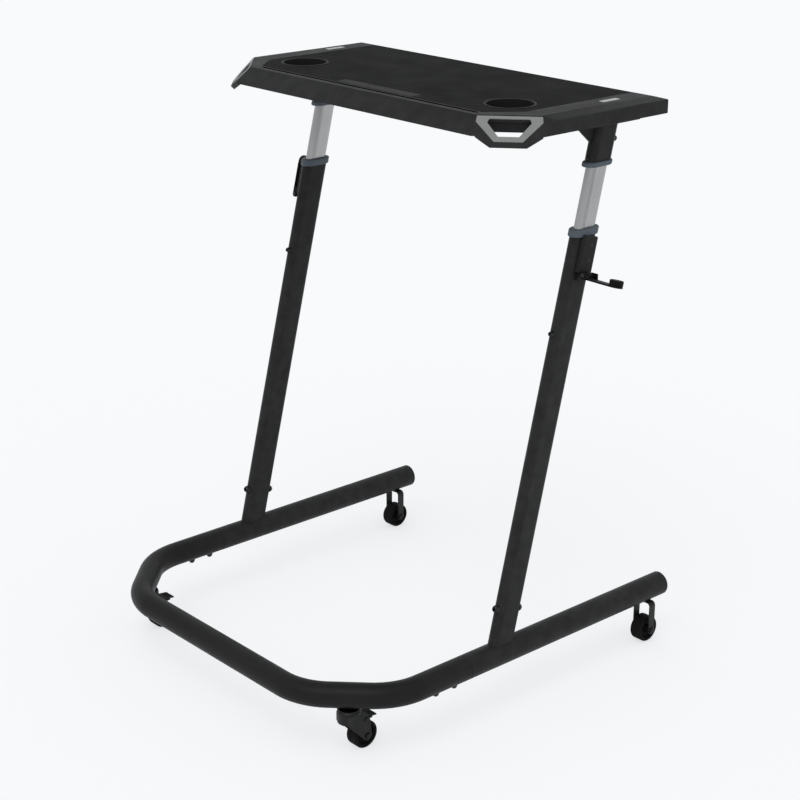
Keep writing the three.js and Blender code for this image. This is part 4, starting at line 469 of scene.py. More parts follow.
def coated(name, level, blue, rough, grain, depth, worn, specular):
    """Powder coat or moulded plastic: cloudy colour, fine grain and polished edges."""
    look = Look(name, specular=specular)
    cloud = look.ranged(look.noise(CLOUD_SCALE, 4), 0, 1)
    speck = look.ranged(look.noise(grain / 2, 2), 0, 1)
    smear = look.noise(SMEAR_SCALE, 5)
    body = look.mixed(cloud, grey(level - CLOUD_STEP, blue), grey(level + CLOUD_STEP, blue))
    body = look.mixed(look.product(speck, SPECK_SHARE), body, grey(level + SPECK_STEP, blue))
    look.surface(
        look.mixed(look.worn_edges(worn), body, grey(level + WORN_STEP, blue)),
        look.ranged(smear, rough - SMEAR_SPREAD, rough + SMEAR_SPREAD),
    )
    fine = look.bump(look.noise(grain), depth, GRAIN_STRENGTH)
    cells = {"Scale": grain * DIMPLE_SHARE}
    dimples = look.texture("Voronoi", "Distance", cells, feature="SMOOTH_F1")
    look.bump(dimples, depth, DIMPLE_STRENGTH, fine)
    return look.material


def woven(name, level):
    """The writing mat: a fine tight weave with a little sheen from use."""
    look = Look(name, specular=MAT_SPECULAR)
    threads = look.product(look.bands(MAT_THREADS, "X"), look.bands(MAT_THREADS, "Y"))
    cloud = look.ranged(look.noise(MAT_CLOUD_SCALE, 5), 0, 1)
    body = look.mixed(cloud, grey(level - MAT_CLOUD_STEP), grey(level + MAT_CLOUD_STEP))
    shown = look.ranged(threads, 0, MAT_THREAD_SHARE, 0, 1)
    look.surface(
        look.mixed(shown, body, grey(level + MAT_THREAD_STEP)),
        look.ranged(look.noise(MAT_SHEEN_SCALE, 4), *MAT_ROUGHNESS),
    )
    fine = look.bump(threads, *MAT_BUMP)
    look.bump(look.noise(MAT_FUZZ_SCALE, 2), *MAT_FUZZ_BUMP, fine)
    return look.material


def drawn_metal(name, level, rough, turn, across, along):
    """Bare or plated metal with fine lines along the way it was drawn."""
    look = Look(name, metallic=1)
    inputs = {"Rotation": (turn, 0, 0), "Scale": (across, across, along), "Vector": look.place}
    stretched = look.node("ShaderNodeMapping", inputs, vector_type="TEXTURE").outputs["Vector"]
    lines = look.noise(1, 4, Roughness=METAL_LINE_BLUR, Vector=stretched)
    cloud = look.ranged(look.noise(METAL_CLOUD_SCALE, 4), 0, 1)
    body = look.mixed(cloud, *[grey(level * share) for share in METAL_CLOUD])
    look.surface(
        look.mixed(look.ranged(lines, 0, METAL_LINE_SHARE), body, grey(level * METAL_LINE_LEVEL)),
        look.ranged(lines, *[rough + change for change in METAL_LINE_ROUGHNESS]),
    )
    look.bump(lines, *METAL_BUMP)
    return look.material


LOOKS = {name: coated(name, *values) for name, values in COATS.items()}
LOOKS["mat_black"] = woven("mat_black", MAT_LEVEL)
LOOKS.update({name: drawn_metal(name, *values) for name, values in METALS.items()})


# Outlines
def fillet(points, radius, closed=True):
    """The outline with its corners rounded. radius is one size, or one for each corner."""
    radii = radius if isinstance(radius, (list, tuple)) else [radius] * len(points)
    made = []
    last = len(points) - 1
    for i, point in enumerate(points):
        here = Vector(point)
        if radii[i] <= 0 or (not closed and i in (0, last)):
            made.append(here)
            continue
        before = Vector(points[i - 1]) - here
        after = Vector(points[(i + 1) % len(points)]) - here
        angle = before.angle(after)
        longest = min(before.length, after.length) / FILLET_LIMIT
        reach = min(radii[i] / tan(angle / 2), longest)
        middle = before.normalized() + after.normalized()
        centre = here + middle.normalized() * (reach / cos(angle / 2))
        start = here + before.normalized() * reach - centre
        end = here + after.normalized() * reach - centre
        turn = start.angle(end)
        for step in range(FILLET_STEPS + 1):
            share = step / FILLET_STEPS
            spoke = start * sin((1 - share) * turn) + end * sin(share * turn)
            made.append(centre + spoke / sin(turn))
    return made


def arc(centre, radius, start, end):
    """Points round a centre from one angle to another."""
    angles = [start + (end - start) * step / ARC_STEPS for step in range(ARC_STEPS + 1)]
    return [(centre[0] + radius * cos(a), centre[1] + radius * sin(a)) for a in angles]


def capsule(radius, low, high):
    """Two half circles round (0, low) and (0, high), and the flats between them."""
    return arc((0, high), radius, 0, pi) + arc((0, low), radius, pi, 2 * pi)


def oval(radius, middle):
    """Flat oval, long in y."""
    return capsule(radius, -middle, middle)


def rectangle(x0, x1, y0, y1, radius=0, grow=0):
    """A rectangle, which may have rounded corners and grow to all sides."""
    x0, x1, y0, y1 = x0 - grow, x1 + grow, y0 - grow, y1 + grow
    return fillet([(x0, y0), (x1, y0), (x1, y1), (x0, y1)], radius)


def cut_rectangle(x, front, rear, cut_x, cut_y, radius):
    """A rectangle from -x to x with its front corners cut off."""
    half = [(x - cut_x, front), (x, front + cut_y), (x, rear)]
    return fillet([(-x + cut_x, front), *half, *[(-a, b) for a, b in reversed(half[1:])]], radius)


def around(sides):
    """The angles of the points of a circle."""
    return [2 * pi * i / sides for i in range(sides)]


def dome(radius, height, seat=0):
    """Quarter outline of a domed head, from its rim to just short of its crown."""
    turns = [pi / 2 * step / DOME_STEPS for step in range(DOME_STEPS)]
    return [(radius * cos(a), seat + height * sin(a)) for a in turns]


# Meshes
def as_mesh(bm, name="part"):
    mesh = bpy.data.meshes.new(name)
    bm.to_mesh(mesh)
    bm.free()
    return mesh


def loft(loops, ring=True):
    """A surface through loops of equally many points. ring joins the last loop to the first."""
    bm = bmesh.new()
    rows = [[bm.verts.new(point) for point in loop] for loop in loops]
    pairs = list(zip(rows, rows[1:]))
    if ring:
        pairs.append((rows[-1], rows[0]))
    for low, high in pairs:
        for i in range(len(low)):
            j = (i + 1) % len(low)
            bm.faces.new((low[i], low[j], high[j], high[i]))
    bmesh.ops.remove_doubles(bm, verts=bm.verts, dist=WELD_DISTANCE)
    bmesh.ops.recalc_face_normals(bm, faces=bm.faces)
    return as_mesh(bm)


def lathe(profile, sides=ROUND_SIDES):
    """A closed profile of (radius, height) points, turned round the z axis."""
    return loft([
        [(radius * cos(a), radius * sin(a), height) for a in around(sides)]
        for radius, height in profile
    ])


def pipe(inner, outer, low, high, sides=SMALL_SIDES):
    """A straight tube round the z axis, or a rod where inner is 0."""
    return lathe([(inner, low), (outer, low), (outer, high), (inner, high)], sides)


def mirrored(half):
    """A whole profile from its upper half."""
    return [(r, -z) for r, z in reversed(half)] + half


def shaft(radius, head_radius, head_width, seat):
    """A rod along x with a head at each end, from -seat and seat outwards."""
    half = [
        (radius, seat), (head_radius, seat),
        (head_radius, seat + head_width * SHAFT_SIDE_SHARE),
        (head_radius * SHAFT_CROWN_SHARE, seat + head_width),
        (0, seat + head_width),
    ]
    return moved(lathe(mirrored(half), SMALL_SIDES), Z_TO_X)


def oval_lathe(levels):
    """A closed profile of (radius, middle, height) levels of flat ovals."""
    return loft([
        [(x, y, height) for x, y in oval(radius, middle)] for radius, middle, height in levels
    ])


def slab(points, start, end, edge=EDGE, plane="XY"):
    """An outline pushed through a thickness, with its rims rounded.

    Plane YZ pushes it along x, and plane XZ along y.
    """
    bm = bmesh.new()
    rows = [[bm.verts.new((a, b, height)) for a, b in points] for height in (start, end)]
    bm.faces.new(rows[0])
    bm.faces.new(rows[1])
    for i in range(len(points)):
        j = (i + 1) % len(points)
        bm.faces.new((rows[0][i], rows[0][j], rows[1][j], rows[1][i]))
    bmesh.ops.recalc_face_normals(bm, faces=bm.faces)
    if plane == "YZ":
        bm.transform(Matrix(((0, 0, 1, 0), (1, 0, 0, 0), (0, 1, 0, 0), (0, 0, 0, 1))))
    if plane == "XZ":
        bm.transform(Matrix(((1, 0, 0, 0), (0, 0, 1, 0), (0, 1, 0, 0), (0, 0, 0, 1))))
        bmesh.ops.reverse_faces(bm, faces=bm.faces)
    if edge > 0:
        soften(bm, edge, SHARP_ANGLE)
    return as_mesh(bm)


def soften(bm, width, angle, wanted=lambda edge: True):
    """Rounds the edges that turn by more than an angle."""
    bm.normal_update()
    edges = [
        e for e in bm.edges
        if len(e.link_faces) == 2 and e.calc_face_angle(0) > angle and wanted(e)
    ]
    bmesh.ops.bevel(
        bm, geom=edges, offset=width, offset_type="OFFSET", segments=BEVEL_SEGMENTS,
        profile=BEVEL_PROFILE, affect="EDGES", clamp_overlap=True,
    )


def cheeks(points, inner, outer, edge=EDGE, plane="YZ"):
    """Two slabs of one outline, one on each side of the middle."""
    spans = ((-outer, -inner), (inner, outer))
    return [slab(points, low, high, edge, plane) for low, high in spans]


def bar(points, half, edge=EDGE, plane="YZ"):
    """A slab that reaches equally far to both sides of the middle."""
    return slab(points, -half, half, edge, plane)


def moved(mesh, matrix):
    mesh.transform(matrix)
    if matrix.determinant() < 0:
        mesh.flip_normals()
    return mesh


def hex_head(radius, height, seat=0):
    """A domed head on z = seat, with a hexagon socket."""
    across = radius * SOCKET_HALF_SHARE
    turns = around(SMALL_SIDES)
    rim = across * SOCKET_RIM_SHARE
    tall = seat + height * sqrt(1 - (rim / radius) ** 2)
    profile = [(0, seat)] + [p for p in dome(radius, height, seat) if p[0] > rim] + [(rim, tall)]
    loops = [[(r * cos(a), r * sin(a), z) for a in turns] for r, z in profile]

    def hexagon(z, share=1):
        points = []
        for a in turns:
            bent = (a + pi / 6) % (pi / 3) - pi / 6
            r = share * across / cos(bent)
            points.append((r * cos(a), r * sin(a), z))
        return points

    floor = tall - height * SOCKET_DEPTH_SHARE
    loops += [hexagon(tall - EDGE / 4), hexagon(floor), hexagon(floor, 0)]
    return loft(loops, ring=False)


def cap_head(radius, height):
    """A head with straight sides, and a crown with a hexagon socket."""
    seat = height - radius / 2
    profile = [(0, 0), (radius - EDGE, 0), (radius, EDGE), (radius, seat), (0, seat)]
    return [lathe(profile, SMALL_SIDES), hex_head(radius, radius / 2, seat)]


def add_object(name, data):
    made = bpy.data.objects.new(name, data)
    bpy.context.scene.collection.objects.link(made)
    return made


def cut(mesh, cutters):
    """The mesh less other closed meshes."""
    body = add_object("body", mesh)
    tools = [add_object("tool", cutter) for cutter in cutters]
    for tool in tools:
        modifier = body.modifiers.new("cut", "BOOLEAN")
        modifier.operation = "DIFFERENCE"
        modifier.solver = "EXACT"
        modifier.object = tool
    graph = bpy.context.evaluated_depsgraph_get()
    made = bpy.data.meshes.new_from_object(body.evaluated_get(graph))
    for thing in [body, *tools]:
        bpy.data.objects.remove(thing)
    return made


def add_piece(name, meshes, look, body, nodes=(), matrix=BASE):
    """One shown piece of the object, which rides on a body and may stand for CAD nodes."""
    bm = bmesh.new()
    for mesh in meshes:
        bm.from_mesh(mesh)
    mesh = moved(as_mesh(bm, name), matrix)
    mesh.shade_smooth()
    mesh.set_sharp_from_angle(angle=SHARP_ANGLE)
    mesh.materials.append(LOOKS[look])
    piece = add_object(name, mesh)
    weighted = piece.modifiers.new("normals", "WEIGHTED_NORMAL")
    weighted.keep_sharp = True
    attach(piece, body)
    if nodes:
        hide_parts(*nodes)


def add_twin(name, piece, meshes, look, body, node="", matrix=BASE):
    """A piece of a left and right pair, which may stand for one node of such a pair."""
    nodes = [f"{node}_{name}"] if node else ()
    add_piece(f"{piece}_{name}", meshes, look, body, nodes, matrix)


def cad_copy(node):
    """A node's mesh with its flat faces whole again, ready for rounding its edges."""
    bm = bmesh.new()
    bm.from_mesh(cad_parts[node].data)
    bmesh.ops.remove_doubles(bm, verts=bm.verts, dist=CAD_WELD_DISTANCE)
    bmesh.ops.dissolve_limit(
        bm, angle_limit=FLAT_ANGLE, verts=bm.verts, edges=bm.edges, use_dissolve_boundaries=False
    )
    return bm


# Base
def front_tube():
    half = [(-RAIL_X, SEAM_Y), (-RAIL_X, CORNER_CUT), (-RAIL_X + CORNER_CUT, 0)]
    corners = [Vector((x, y, 0)) for x, y in half + [(-x, y) for x, y in reversed(half)]]
    stations = [(corners[0], (corners[1] - corners[0]).normalized())]
    for before, here, after in zip(corners, corners[1:], corners[2:]):
        way_in = (here - before).normalized()
        way_out = (after - here).normalized()
        angle = way_in.angle(way_out)
        inward = (way_out - way_in * way_in.dot(way_out)).normalized()
        centre = here - way_in * BEND_RADIUS * tan(angle / 2) + inward * BEND_RADIUS
        for step in range(BEND_STEPS + 1):
            turn = angle * step / BEND_STEPS
            outward = inward * BEND_RADIUS * cos(turn)
            point = centre - outward + way_in * BEND_RADIUS * sin(turn)
            stations.append((point, way_in * cos(turn) + inward * sin(turn)))
    stations.append((corners[-1], (corners[-1] - corners[-2]).normalized()))

    def loop(station, radius, back=0):
        point, way = station
        across = Vector((way.y, -way.x, 0))
        middle = point + way * back
        return [
            middle + across * (radius * cos(a)) + Vector((0, 0, radius * sin(a)))
            for a in around(ROUND_SIDES)
        ]

    loops = [
        loop(stations[0], TUBE_RADIUS - EDGE),
        loop(stations[0], TUBE_RADIUS, EDGE),
        *[loop(station, TUBE_RADIUS) for station in stations[1:-1]],
        loop(stations[-1], TUBE_RADIUS, -EDGE),
        loop(stations[-1], TUBE_RADIUS - EDGE),
        *[loop(station, BORE_RADIUS) for station in reversed(stations)],
    ]
    add_piece("front_tube", [loft(loops)], "powder_black", "base", ["base_front_tube"])


def rail(side, name):
    shoulder = SEAM_Y + GAP
    end = RAIL_END_Y - PLUG_CAP_LENGTH
    neck = BORE_RADIUS - GAP
    tube = lathe([
        (neck - TUBE_WALL, SEAM_Y - NECK_LENGTH), (neck, SEAM_Y - NECK_LENGTH),
        (neck, shoulder), (TUBE_RADIUS - EDGE, shoulder),
        (TUBE_RADIUS, shoulder + EDGE), (TUBE_RADIUS, end),
        (BORE_RADIUS, end), (BORE_RADIUS, shoulder + TUBE_WALL),
        (neck - TUBE_WALL, shoulder),
    ])
    inset = LEG_RADIUS - LEG_WALL - GAP
    spigot = oval_lathe([
        (inset, LEG_MIDDLE, BORE_RADIUS), (inset, LEG_MIDDLE, SPIGOT_TOP),
        (inset - SPIGOT_WALL, LEG_MIDDLE, SPIGOT_TOP),
        (inset - SPIGOT_WALL, LEG_MIDDLE, BORE_RADIUS),
    ])
    at_rail = BASE @ place(side * RAIL_X)
    meshes = [moved(tube, Z_TO_Y), moved(spigot, place(0, LEG_FOOT_Y) @ LEANING)]
    add_twin(name, "side_rail", meshes, "powder_black", "base", "rail", at_rail)

    seat = end + GAP
    edge = RAIL_END_Y - PLUG_EDGE
    plug = lathe([
        (0, seat - PLUG_INSERT_LENGTH), (neck, seat - PLUG_INSERT_LENGTH),
        (neck, seat), (TUBE_RADIUS, seat),
        *[(TUBE_RADIUS - PLUG_EDGE + r, z) for r, z in dome(PLUG_EDGE, PLUG_EDGE, edge)],
        (TUBE_RADIUS - PLUG_EDGE, RAIL_END_Y),
        (PLUG_DISH_RADIUS + PLUG_DISH_DEPTH, RAIL_END_Y),
        (PLUG_DISH_RADIUS, RAIL_END_Y - PLUG_DISH_DEPTH),
        (0, RAIL_END_Y - PLUG_DISH_DEPTH),
    ])
    plug = moved(plug, Z_TO_Y)
    add_twin(name, "end_plug", [plug], "moulded_black", "base", "rail_plug", at_rail)

    heads = [
        moved(hex_head(*RAIL_BOLT_HEAD), place(0, y, TUBE_BOTTOM) @ Z_DOWN) for y in RAIL_BOLT_YS
    ]
    add_twin(name, "rail_bolt_heads", heads, "bolt_black", "base", "rail_bolts", at_rail)


# Legs, in their own frame: x across, y to the back, z up along the leg
def notch_height(x, y):
    """Where a line along the leg at (x, y) meets the rail."""
    radius = TUBE_RADIUS + GAP
    return (sqrt(radius ** 2 - x ** 2) + y * sin(LEAN)) / cos(LEAN)


def level_height(height, y):
    """Where a line along the leg at y meets a level plane at a height of the base frame."""
    return (height + y * sin(LEAN)) / cos(LEAN)


def rim_loop(points, height):
    """An outline in the level plane that crosses the leg's axis at a height."""
    return [(x, y, height + y * tan(LEAN)) for x, y in points]


def level_loop(points, height):
    """An outline in the level plane at a height of the base frame."""
    return [(x, y, level_height(height, y)) for x, y in points]


def across_leg(side, height, reach=LEG_RADIUS + LEG_MIDDLE + GAP):
    """Turns +z to the leg's front or back, at a height on its narrow face."""
    return place(0, side * reach, height) @ Matrix.Rotation(-side * pi / 2, 4, "X")


def outer_leg(side, name):
    outside = oval(LEG_RADIUS, LEG_MIDDLE)
    inside = oval(LEG_RADIUS - LEG_WALL, LEG_MIDDLE)
    rim = oval(LEG_RADIUS - EDGE, LEG_MIDDLE)
    tube = loft([
        [(x, y, notch_height(x, y)) for x, y in inside],
        [(x, y, notch_height(x, y)) for x, y in outside],
        rim_loop(outside, LEG_TOP - EDGE),
        rim_loop(rim, LEG_TOP),
        rim_loop(inside, LEG_TOP),
    ])
    at_leg = leg_matrix(side)
    add_twin(name, "leg", [tube], "powder_black", "base", "leg_tube", at_leg)

    heads = [
        moved(hex_head(*LEG_BOLT_HEAD), across_leg(end, LEG_BOLT_HEIGHT)) for end in (-1, 1)
    ]
    add_twin(name, "leg_bolt_heads", heads, "bolt_black", "base", "leg_bolt", at_leg)

    screw = [pipe(0, GUIDE_SCREW_SHANK, -GUIDE_SCREW_LENGTH, 0), hex_head(*GUIDE_SCREW_HEAD)]
    at_screw = at_leg @ across_leg(-1, GUIDE_SCREW_HEIGHT)
    add_twin(name, "guide_screw_head", screw, "bolt_black", "base", "guide_screw", at_screw)


def collar_levels(low, high, bore_gap):
    """A collar's closed profile: its rounded outside, then its bore."""
    outer = LEG_RADIUS + COLLAR_PROUD
    bore = INNER_RADIUS + bore_gap
    corners = [(bore, low), (outer, low), (outer, high), (bore, high)]
    radii = [EDGE, COLLAR_EDGE, COLLAR_EDGE, EDGE]
    middle = (bore + outer) / 2
    return [
        (radius, LEG_MIDDLE if radius > middle else INNER_MIDDLE, height)
        for radius, height in fillet(corners, radii)
    ]


def collars(side, name):
    """The collars' and the sleeve's ends are level."""
    at_leg = leg_matrix(side)
    top = LEG_TOP + LOWER_COLLAR_HEIGHT
    ring = oval_lathe(collar_levels(LEG_TOP + GAP, top, PLAY))
    outer = LEG_RADIUS - LEG_WALL - PLAY
    inner = INNER_RADIUS + PLAY
    low, high = LEG_TOP - LOWER_SLEEVE_LENGTH, LEG_TOP + LOWER_COLLAR_HEIGHT / 2
    sleeve = oval_lathe([
        (inner, INNER_MIDDLE, low), (outer, LEG_MIDDLE, low),
        (outer, LEG_MIDDLE, high), (inner, INNER_MIDDLE, high),
    ])
    meshes = [moved(mesh, LEVEL_ENDS) for mesh in (ring, sleeve)]
    add_twin(name, "guide_collar", meshes, "collar_grey", "base", "lower_collar", at_leg)

    high = UPPER_COLLAR_BOTTOM + UPPER_COLLAR_HEIGHT
    ring = moved(oval_lathe(collar_levels(UPPER_COLLAR_BOTTOM, high, GAP)), LEVEL_ENDS)
    add_twin(name, "stop_collar", [ring], "collar_grey", "desk", "upper_collar", at_leg)


def grooved_oval(inset=0):
    """The inner tube's outline, with three fine grooves along the front of each side."""
    share = (INNER_RADIUS - inset) / INNER_RADIUS
    depth = GROOVE_DEPTH if inset == 0 else 0
    right = []
    for offset in GROOVE_OFFSETS:
        for step, sunk in ((-1, 0), (-1, depth), (1, depth), (1, 0)):
            y = offset + step * GROOVE_HALF_WIDTH
            bent = max(-y - INNER_MIDDLE, 0)
            x = sqrt(INNER_RADIUS ** 2 - bent ** 2) - sunk
            right.append((x * share, y + bent * (1 - share)))
    left = [(-x, y) for x, y in reversed(right)]
    first = asin((GROOVE_HALF_WIDTH - GROOVE_OFFSETS[0] - INNER_MIDDLE) / INNER_RADIUS)
    radius = INNER_RADIUS * share
    front = arc((0, -INNER_MIDDLE), radius, pi + first, 2 * pi - first)
    return arc((0, INNER_MIDDLE), radius, 0, pi) + left + front + right


def inner_leg(side, name):
    outside = grooved_oval()
    inside = grooved_oval(INNER_WALL)
    tube = loft([
        [(x, y, INNER_BOTTOM) for x, y in inside],
        [(x, y, INNER_BOTTOM) for x, y in outside],
        [(x, y, INNER_TOP) for x, y in outside],
        [(x, y, INNER_TOP) for x, y in inside],
    ])
    outline = capsule(GUIDE_SLOT_RADIUS, GUIDE_SLOT_LOW, GUIDE_SLOT_HIGH)
    slot = slab(outline, -INNER_RADIUS - 2 * INNER_MIDDLE, -INNER_MIDDLE, 0, "XZ")
    tube = cut(tube, [slot])
    add_twin(name, "sliding_tube", [tube], "aluminium", "desk", "inner_tube", leg_matrix(side))


def desk_socket(side, name):
    at_leg = leg_matrix(side)
    outside = oval(LEG_RADIUS, LEG_MIDDLE)
    inside = oval(INNER_RADIUS + GAP, INNER_MIDDLE)
    rim = oval(LEG_RADIUS - EDGE, LEG_MIDDLE)
    low = UPPER_COLLAR_BOTTOM + UPPER_COLLAR_HEIGHT + GAP
    top = PLATE_TOP - PLATE_THICKNESS / 2
    tube = loft([
        rim_loop(inside, low),
        rim_loop(rim, low),
        rim_loop(outside, low + EDGE),
        level_loop(outside, top),
        level_loop(inside, top),
    ])
    add_twin(name, "socket", [tube], "powder_black", "desk", "upper_tube", at_leg)

    bead = []
    foot = PLATE_TOP - PLATE_THICKNESS
    for share in SEAM_STEPS:
        turn = pi / 2 * share
        grow = SEAM_BEAD * (1 - sin(turn))
        drop = SEAM_BEAD * (1 - cos(turn))
        loop = []
        for i, (x, y) in enumerate(oval(LEG_RADIUS + grow, LEG_MIDDLE)):
            wave = SEAM_RIPPLE * cos(i * pi)
            loop.append((x, y, level_height(foot - drop - wave * share, y)))
        bead.append(loop)
    bead = loft([*bead, level_loop(rim, foot)])
    add_twin(name, "weld", [bead], "powder_black", "desk", "", at_leg)

    corners = (-PLATE_HALF_WIDTH, PLATE_HALF_WIDTH, PLATE_FRONT_Y, PLATE_REAR_Y)
    plate = slab(rectangle(*corners, PLATE_THICKNESS), foot, PLATE_TOP)
    at_rail = BASE @ place(side * RAIL_X)
    add_twin(name, "mounting_plate", [plate], "powder_black", "desk", "", at_rail)

    def in_leg(y, z):
        back = y - LEG_FOOT_Y
        return (
            back * cos(LEAN) - z * sin(LEAN),
            back * sin(LEAN) + z * cos(LEAN),
        )

    back = -LEG_RADIUS - LEG_MIDDLE + LEG_WALL
    gusset = bar([
        (back, GUSSET_FOOT), (back, level_height(top, back)),
        in_leg(PLATE_FRONT_Y, top),
        in_leg(PLATE_FRONT_Y, foot - PLATE_THICKNESS / 3),
        (back - LEG_WALL, GUSSET_FOOT),
    ], GUSSET_HALF)
    add_twin(name, "gusset", [gusset], "powder_black", "desk", "", at_leg)

    heads = []
    for end, (level, radius, height) in ((-1, FRONT_SOCKET_SCREW), (1, REAR_SOCKET_SCREW)):
        seat = across_leg(end, level, LEG_RADIUS + LEG_MIDDLE)
        heads += [moved(mesh, seat) for mesh in cap_head(radius, height)]
    add_twin(name, "socket_screws", heads, "bolt_black", "desk", "", at_leg)

    heads = []
    for x in (-PLATE_HALF_WIDTH + PLATE_SCREW_MARGIN, PLATE_HALF_WIDTH - PLATE_SCREW_MARGIN):
        for y in (PLATE_FRONT_Y + PLATE_SCREW_MARGIN, PLATE_REAR_Y - PLATE_SCREW_MARGIN):
            heads.append(moved(hex_head(*PLATE_SCREW_HEAD), place(x, y, foot) @ Z_DOWN))
    add_twin(name, "plate_screws", heads, "bolt_black", "desk", "", at_rail)


# Cam locks
def lock(side, name):
    at_leg = leg_matrix(side)
    mirror = Matrix.Scale(side, 4, (1, 0, 0))
    base = LEG_RADIUS + GAP
    face = LEG_RADIUS + LOCK_PROUD
    foot_face = LEG_RADIUS + LOCK_FOOT_PROUD
    relief = LEG_RADIUS + COLLAR_PROUD + GAP
    relief_low = LEG_TOP - LOCK_HALF_WIDTH * tan(LEAN) - GAP
    outline = fillet([
        (base, LOCK_BOTTOM), (face, LOCK_BOTTOM),
        (face, LOCK_TOP - LOCK_BEVEL), (face - LOCK_BEVEL, LOCK_TOP),
        (relief, LOCK_TOP), (relief, relief_low),
        (base, relief_low),
    ], [0, ROUND_EDGE, ROUND_EDGE, ROUND_EDGE, EDGE, 0, 0])
    shell = bar(outline, LOCK_HALF_WIDTH, ROUND_EDGE, "XZ")
    outline = rectangle(base, foot_face, LOCK_FOOT_BOTTOM, LOCK_BOTTOM + LOCK_FOOT_OVERLAP)
    foot = bar(outline, LUG_OUTER, EDGE, "XZ")
    ear = [
        (foot_face - LUG_THICKNESS, PIVOT_HEIGHT - LUG_RADIUS),
        *arc((PIVOT_X, PIVOT_HEIGHT), LUG_RADIUS, -pi / 2, pi / 2),
        (foot_face - LUG_THICKNESS, PIVOT_HEIGHT + LUG_RADIUS),
    ]
    lugs = cheeks(ear, LUG_OUTER - LUG_THICKNESS, LUG_OUTER, EDGE / 2, "XZ")
    meshes = [moved(mesh, mirror) for mesh in (shell, foot, *lugs)]
    add_twin(name, "lock_case", meshes, "powder_black", "base", "lock_housing", at_leg)

    screws = []
    for height in LOCK_SCREW_HEIGHTS:
        at_screw = mirror @ place(face, LOCK_SCREW_BACK, height) @ Z_TO_X
        screws.append(moved(hex_head(*LOCK_SCREW_HEAD), at_screw))
    add_twin(name, "lock_screws", screws, "bolt_black", "base", "", at_leg)

    tall = PIVOT_HALF + PIVOT_HEAD_HEIGHT
    half = [
        (PIVOT_SHANK_RADIUS, PIVOT_HALF), (PIVOT_HEAD_RADIUS, PIVOT_HALF),
        (PIVOT_HEAD_RADIUS - PIVOT_HEAD_HEIGHT / 2, tall), (0, tall),
    ]
    pin = moved(lathe(mirrored(half), SMALL_SIDES), Z_TO_Y)
    at_pivot = at_leg @ place(side * PIVOT_X, 0, PIVOT_HEIGHT)
    add_twin(name, "pivot_pin", [pin], "bolt_black", "base", "lever_pin", at_pivot)
    lever(side, name, at_pivot)


def lever(side, name, at_pivot):
    """Drawn open in its own frame: the arm along +x, its under side at -z."""
    if side < 0:
        at_pivot = at_pivot @ Z_TO_X @ Matrix.Rotation(pi, 4, "Z")
    body = f"lever_{name}"
    wide = LEVER_HALF_WIDTH
    under = -EAR_RADIUS
    top = under + LEVER_THICKNESS
    shape = [
        *arc((0, 0), EAR_RADIUS, pi / 2, 3 * pi / 2),
        (EAR_REACH, under), (EAR_REACH, top),
        (EAR_FLAT, EAR_RADIUS),
    ]
    ears = cheeks(shape, wide - EAR_THICKNESS, wide, EDGE, "XZ")
    shape = [
        (LEVER_START, -wide), (GRIP_REACH - LEVER_TIP_RADIUS / 2, -wide),
        *arc((GRIP_REACH, 0), LEVER_TIP_RADIUS, -pi / 2, pi / 2),
        (GRIP_REACH - LEVER_TIP_RADIUS / 2, wide), (LEVER_START, wide),
    ]
    plate = slab(shape, under, top, BROAD_EDGE)
    cam = moved(pipe(0, CAM_RADIUS, -CAM_HALF, CAM_HALF), Z_TO_Y)
    shape = rectangle(0, LEVER_START + EDGE, under, top)
    web = bar(shape, LEVER_THICKNESS, 0, "XZ")
    meshes = [*ears, plate, cam, web]
    add_twin(name, "lever_arm", meshes, "lever_black", body, "lock_lever", at_pivot)

    low = top + GAP
    high = EAR_RADIUS
    crown = [(GRIP_RADIUS, low + EDGE * 4), (GRIP_RADIUS, high), (0, high)]
    knob = lathe([
        *fillet([(0, low), (GRIP_RADIUS, low), (GRIP_RADIUS, high)], EDGE, False)[:-1],
        *fillet(crown, ROUND_EDGE, False)[1:-1],
        (GRIP_DISH_RADIUS, high),
        (GRIP_DISH_RADIUS - GRIP_DISH_DEPTH, high - GRIP_DISH_DEPTH),
        (0, high - GRIP_DISH_DEPTH),
    ])
    at_grip = at_pivot @ place(GRIP_REACH)
    add_twin(name, "grip", [knob], "lever_black", body, "lever_knob", at_grip)


# Desktop
def desk_shell():
    bm = cad_copy("desk_frame")

    def outer(edge):
        """The long edges of the desk's own outline, not those of the seats cut in it."""
        a, b = edge.verts[0].co, edge.verts[1].co
        middle = (a + b) / 2 - BASE.translation
        on_rim = (
            abs(middle.x) > MAT_HALF_WIDTH + RIM_START_SIDE
            or middle.y > MAT_REAR_Y + RIM_START_REAR
            or middle.y < MAT_FRONT_Y - RIM_START_FRONT
        )
        at_inlay = (
            abs(abs(middle.x) - INLAY_X) < INLAY_ZONE[0] and abs(middle.y - INLAY_Y) < INLAY_ZONE[1]
        )
        at_handle = abs(middle.x) > HANDLE_ZONE[0] and middle.y < HANDLE_ZONE[1]
        return on_rim and not at_inlay and not at_handle and edge.calc_length() > DESK_LONG_EDGE

    soften(bm, DESK_EDGE, DESK_SHARP_ANGLE, outer)
    soften(bm, DESK_SEAT_EDGE, SHARP_ANGLE, lambda e: e.calc_length() > DESK_EDGE * 3)
    shell = moved(as_mesh(bm), BASE.inverted())
    add_piece("desk_shell", [shell], "moulded_black", "desk", ["desk_frame"])


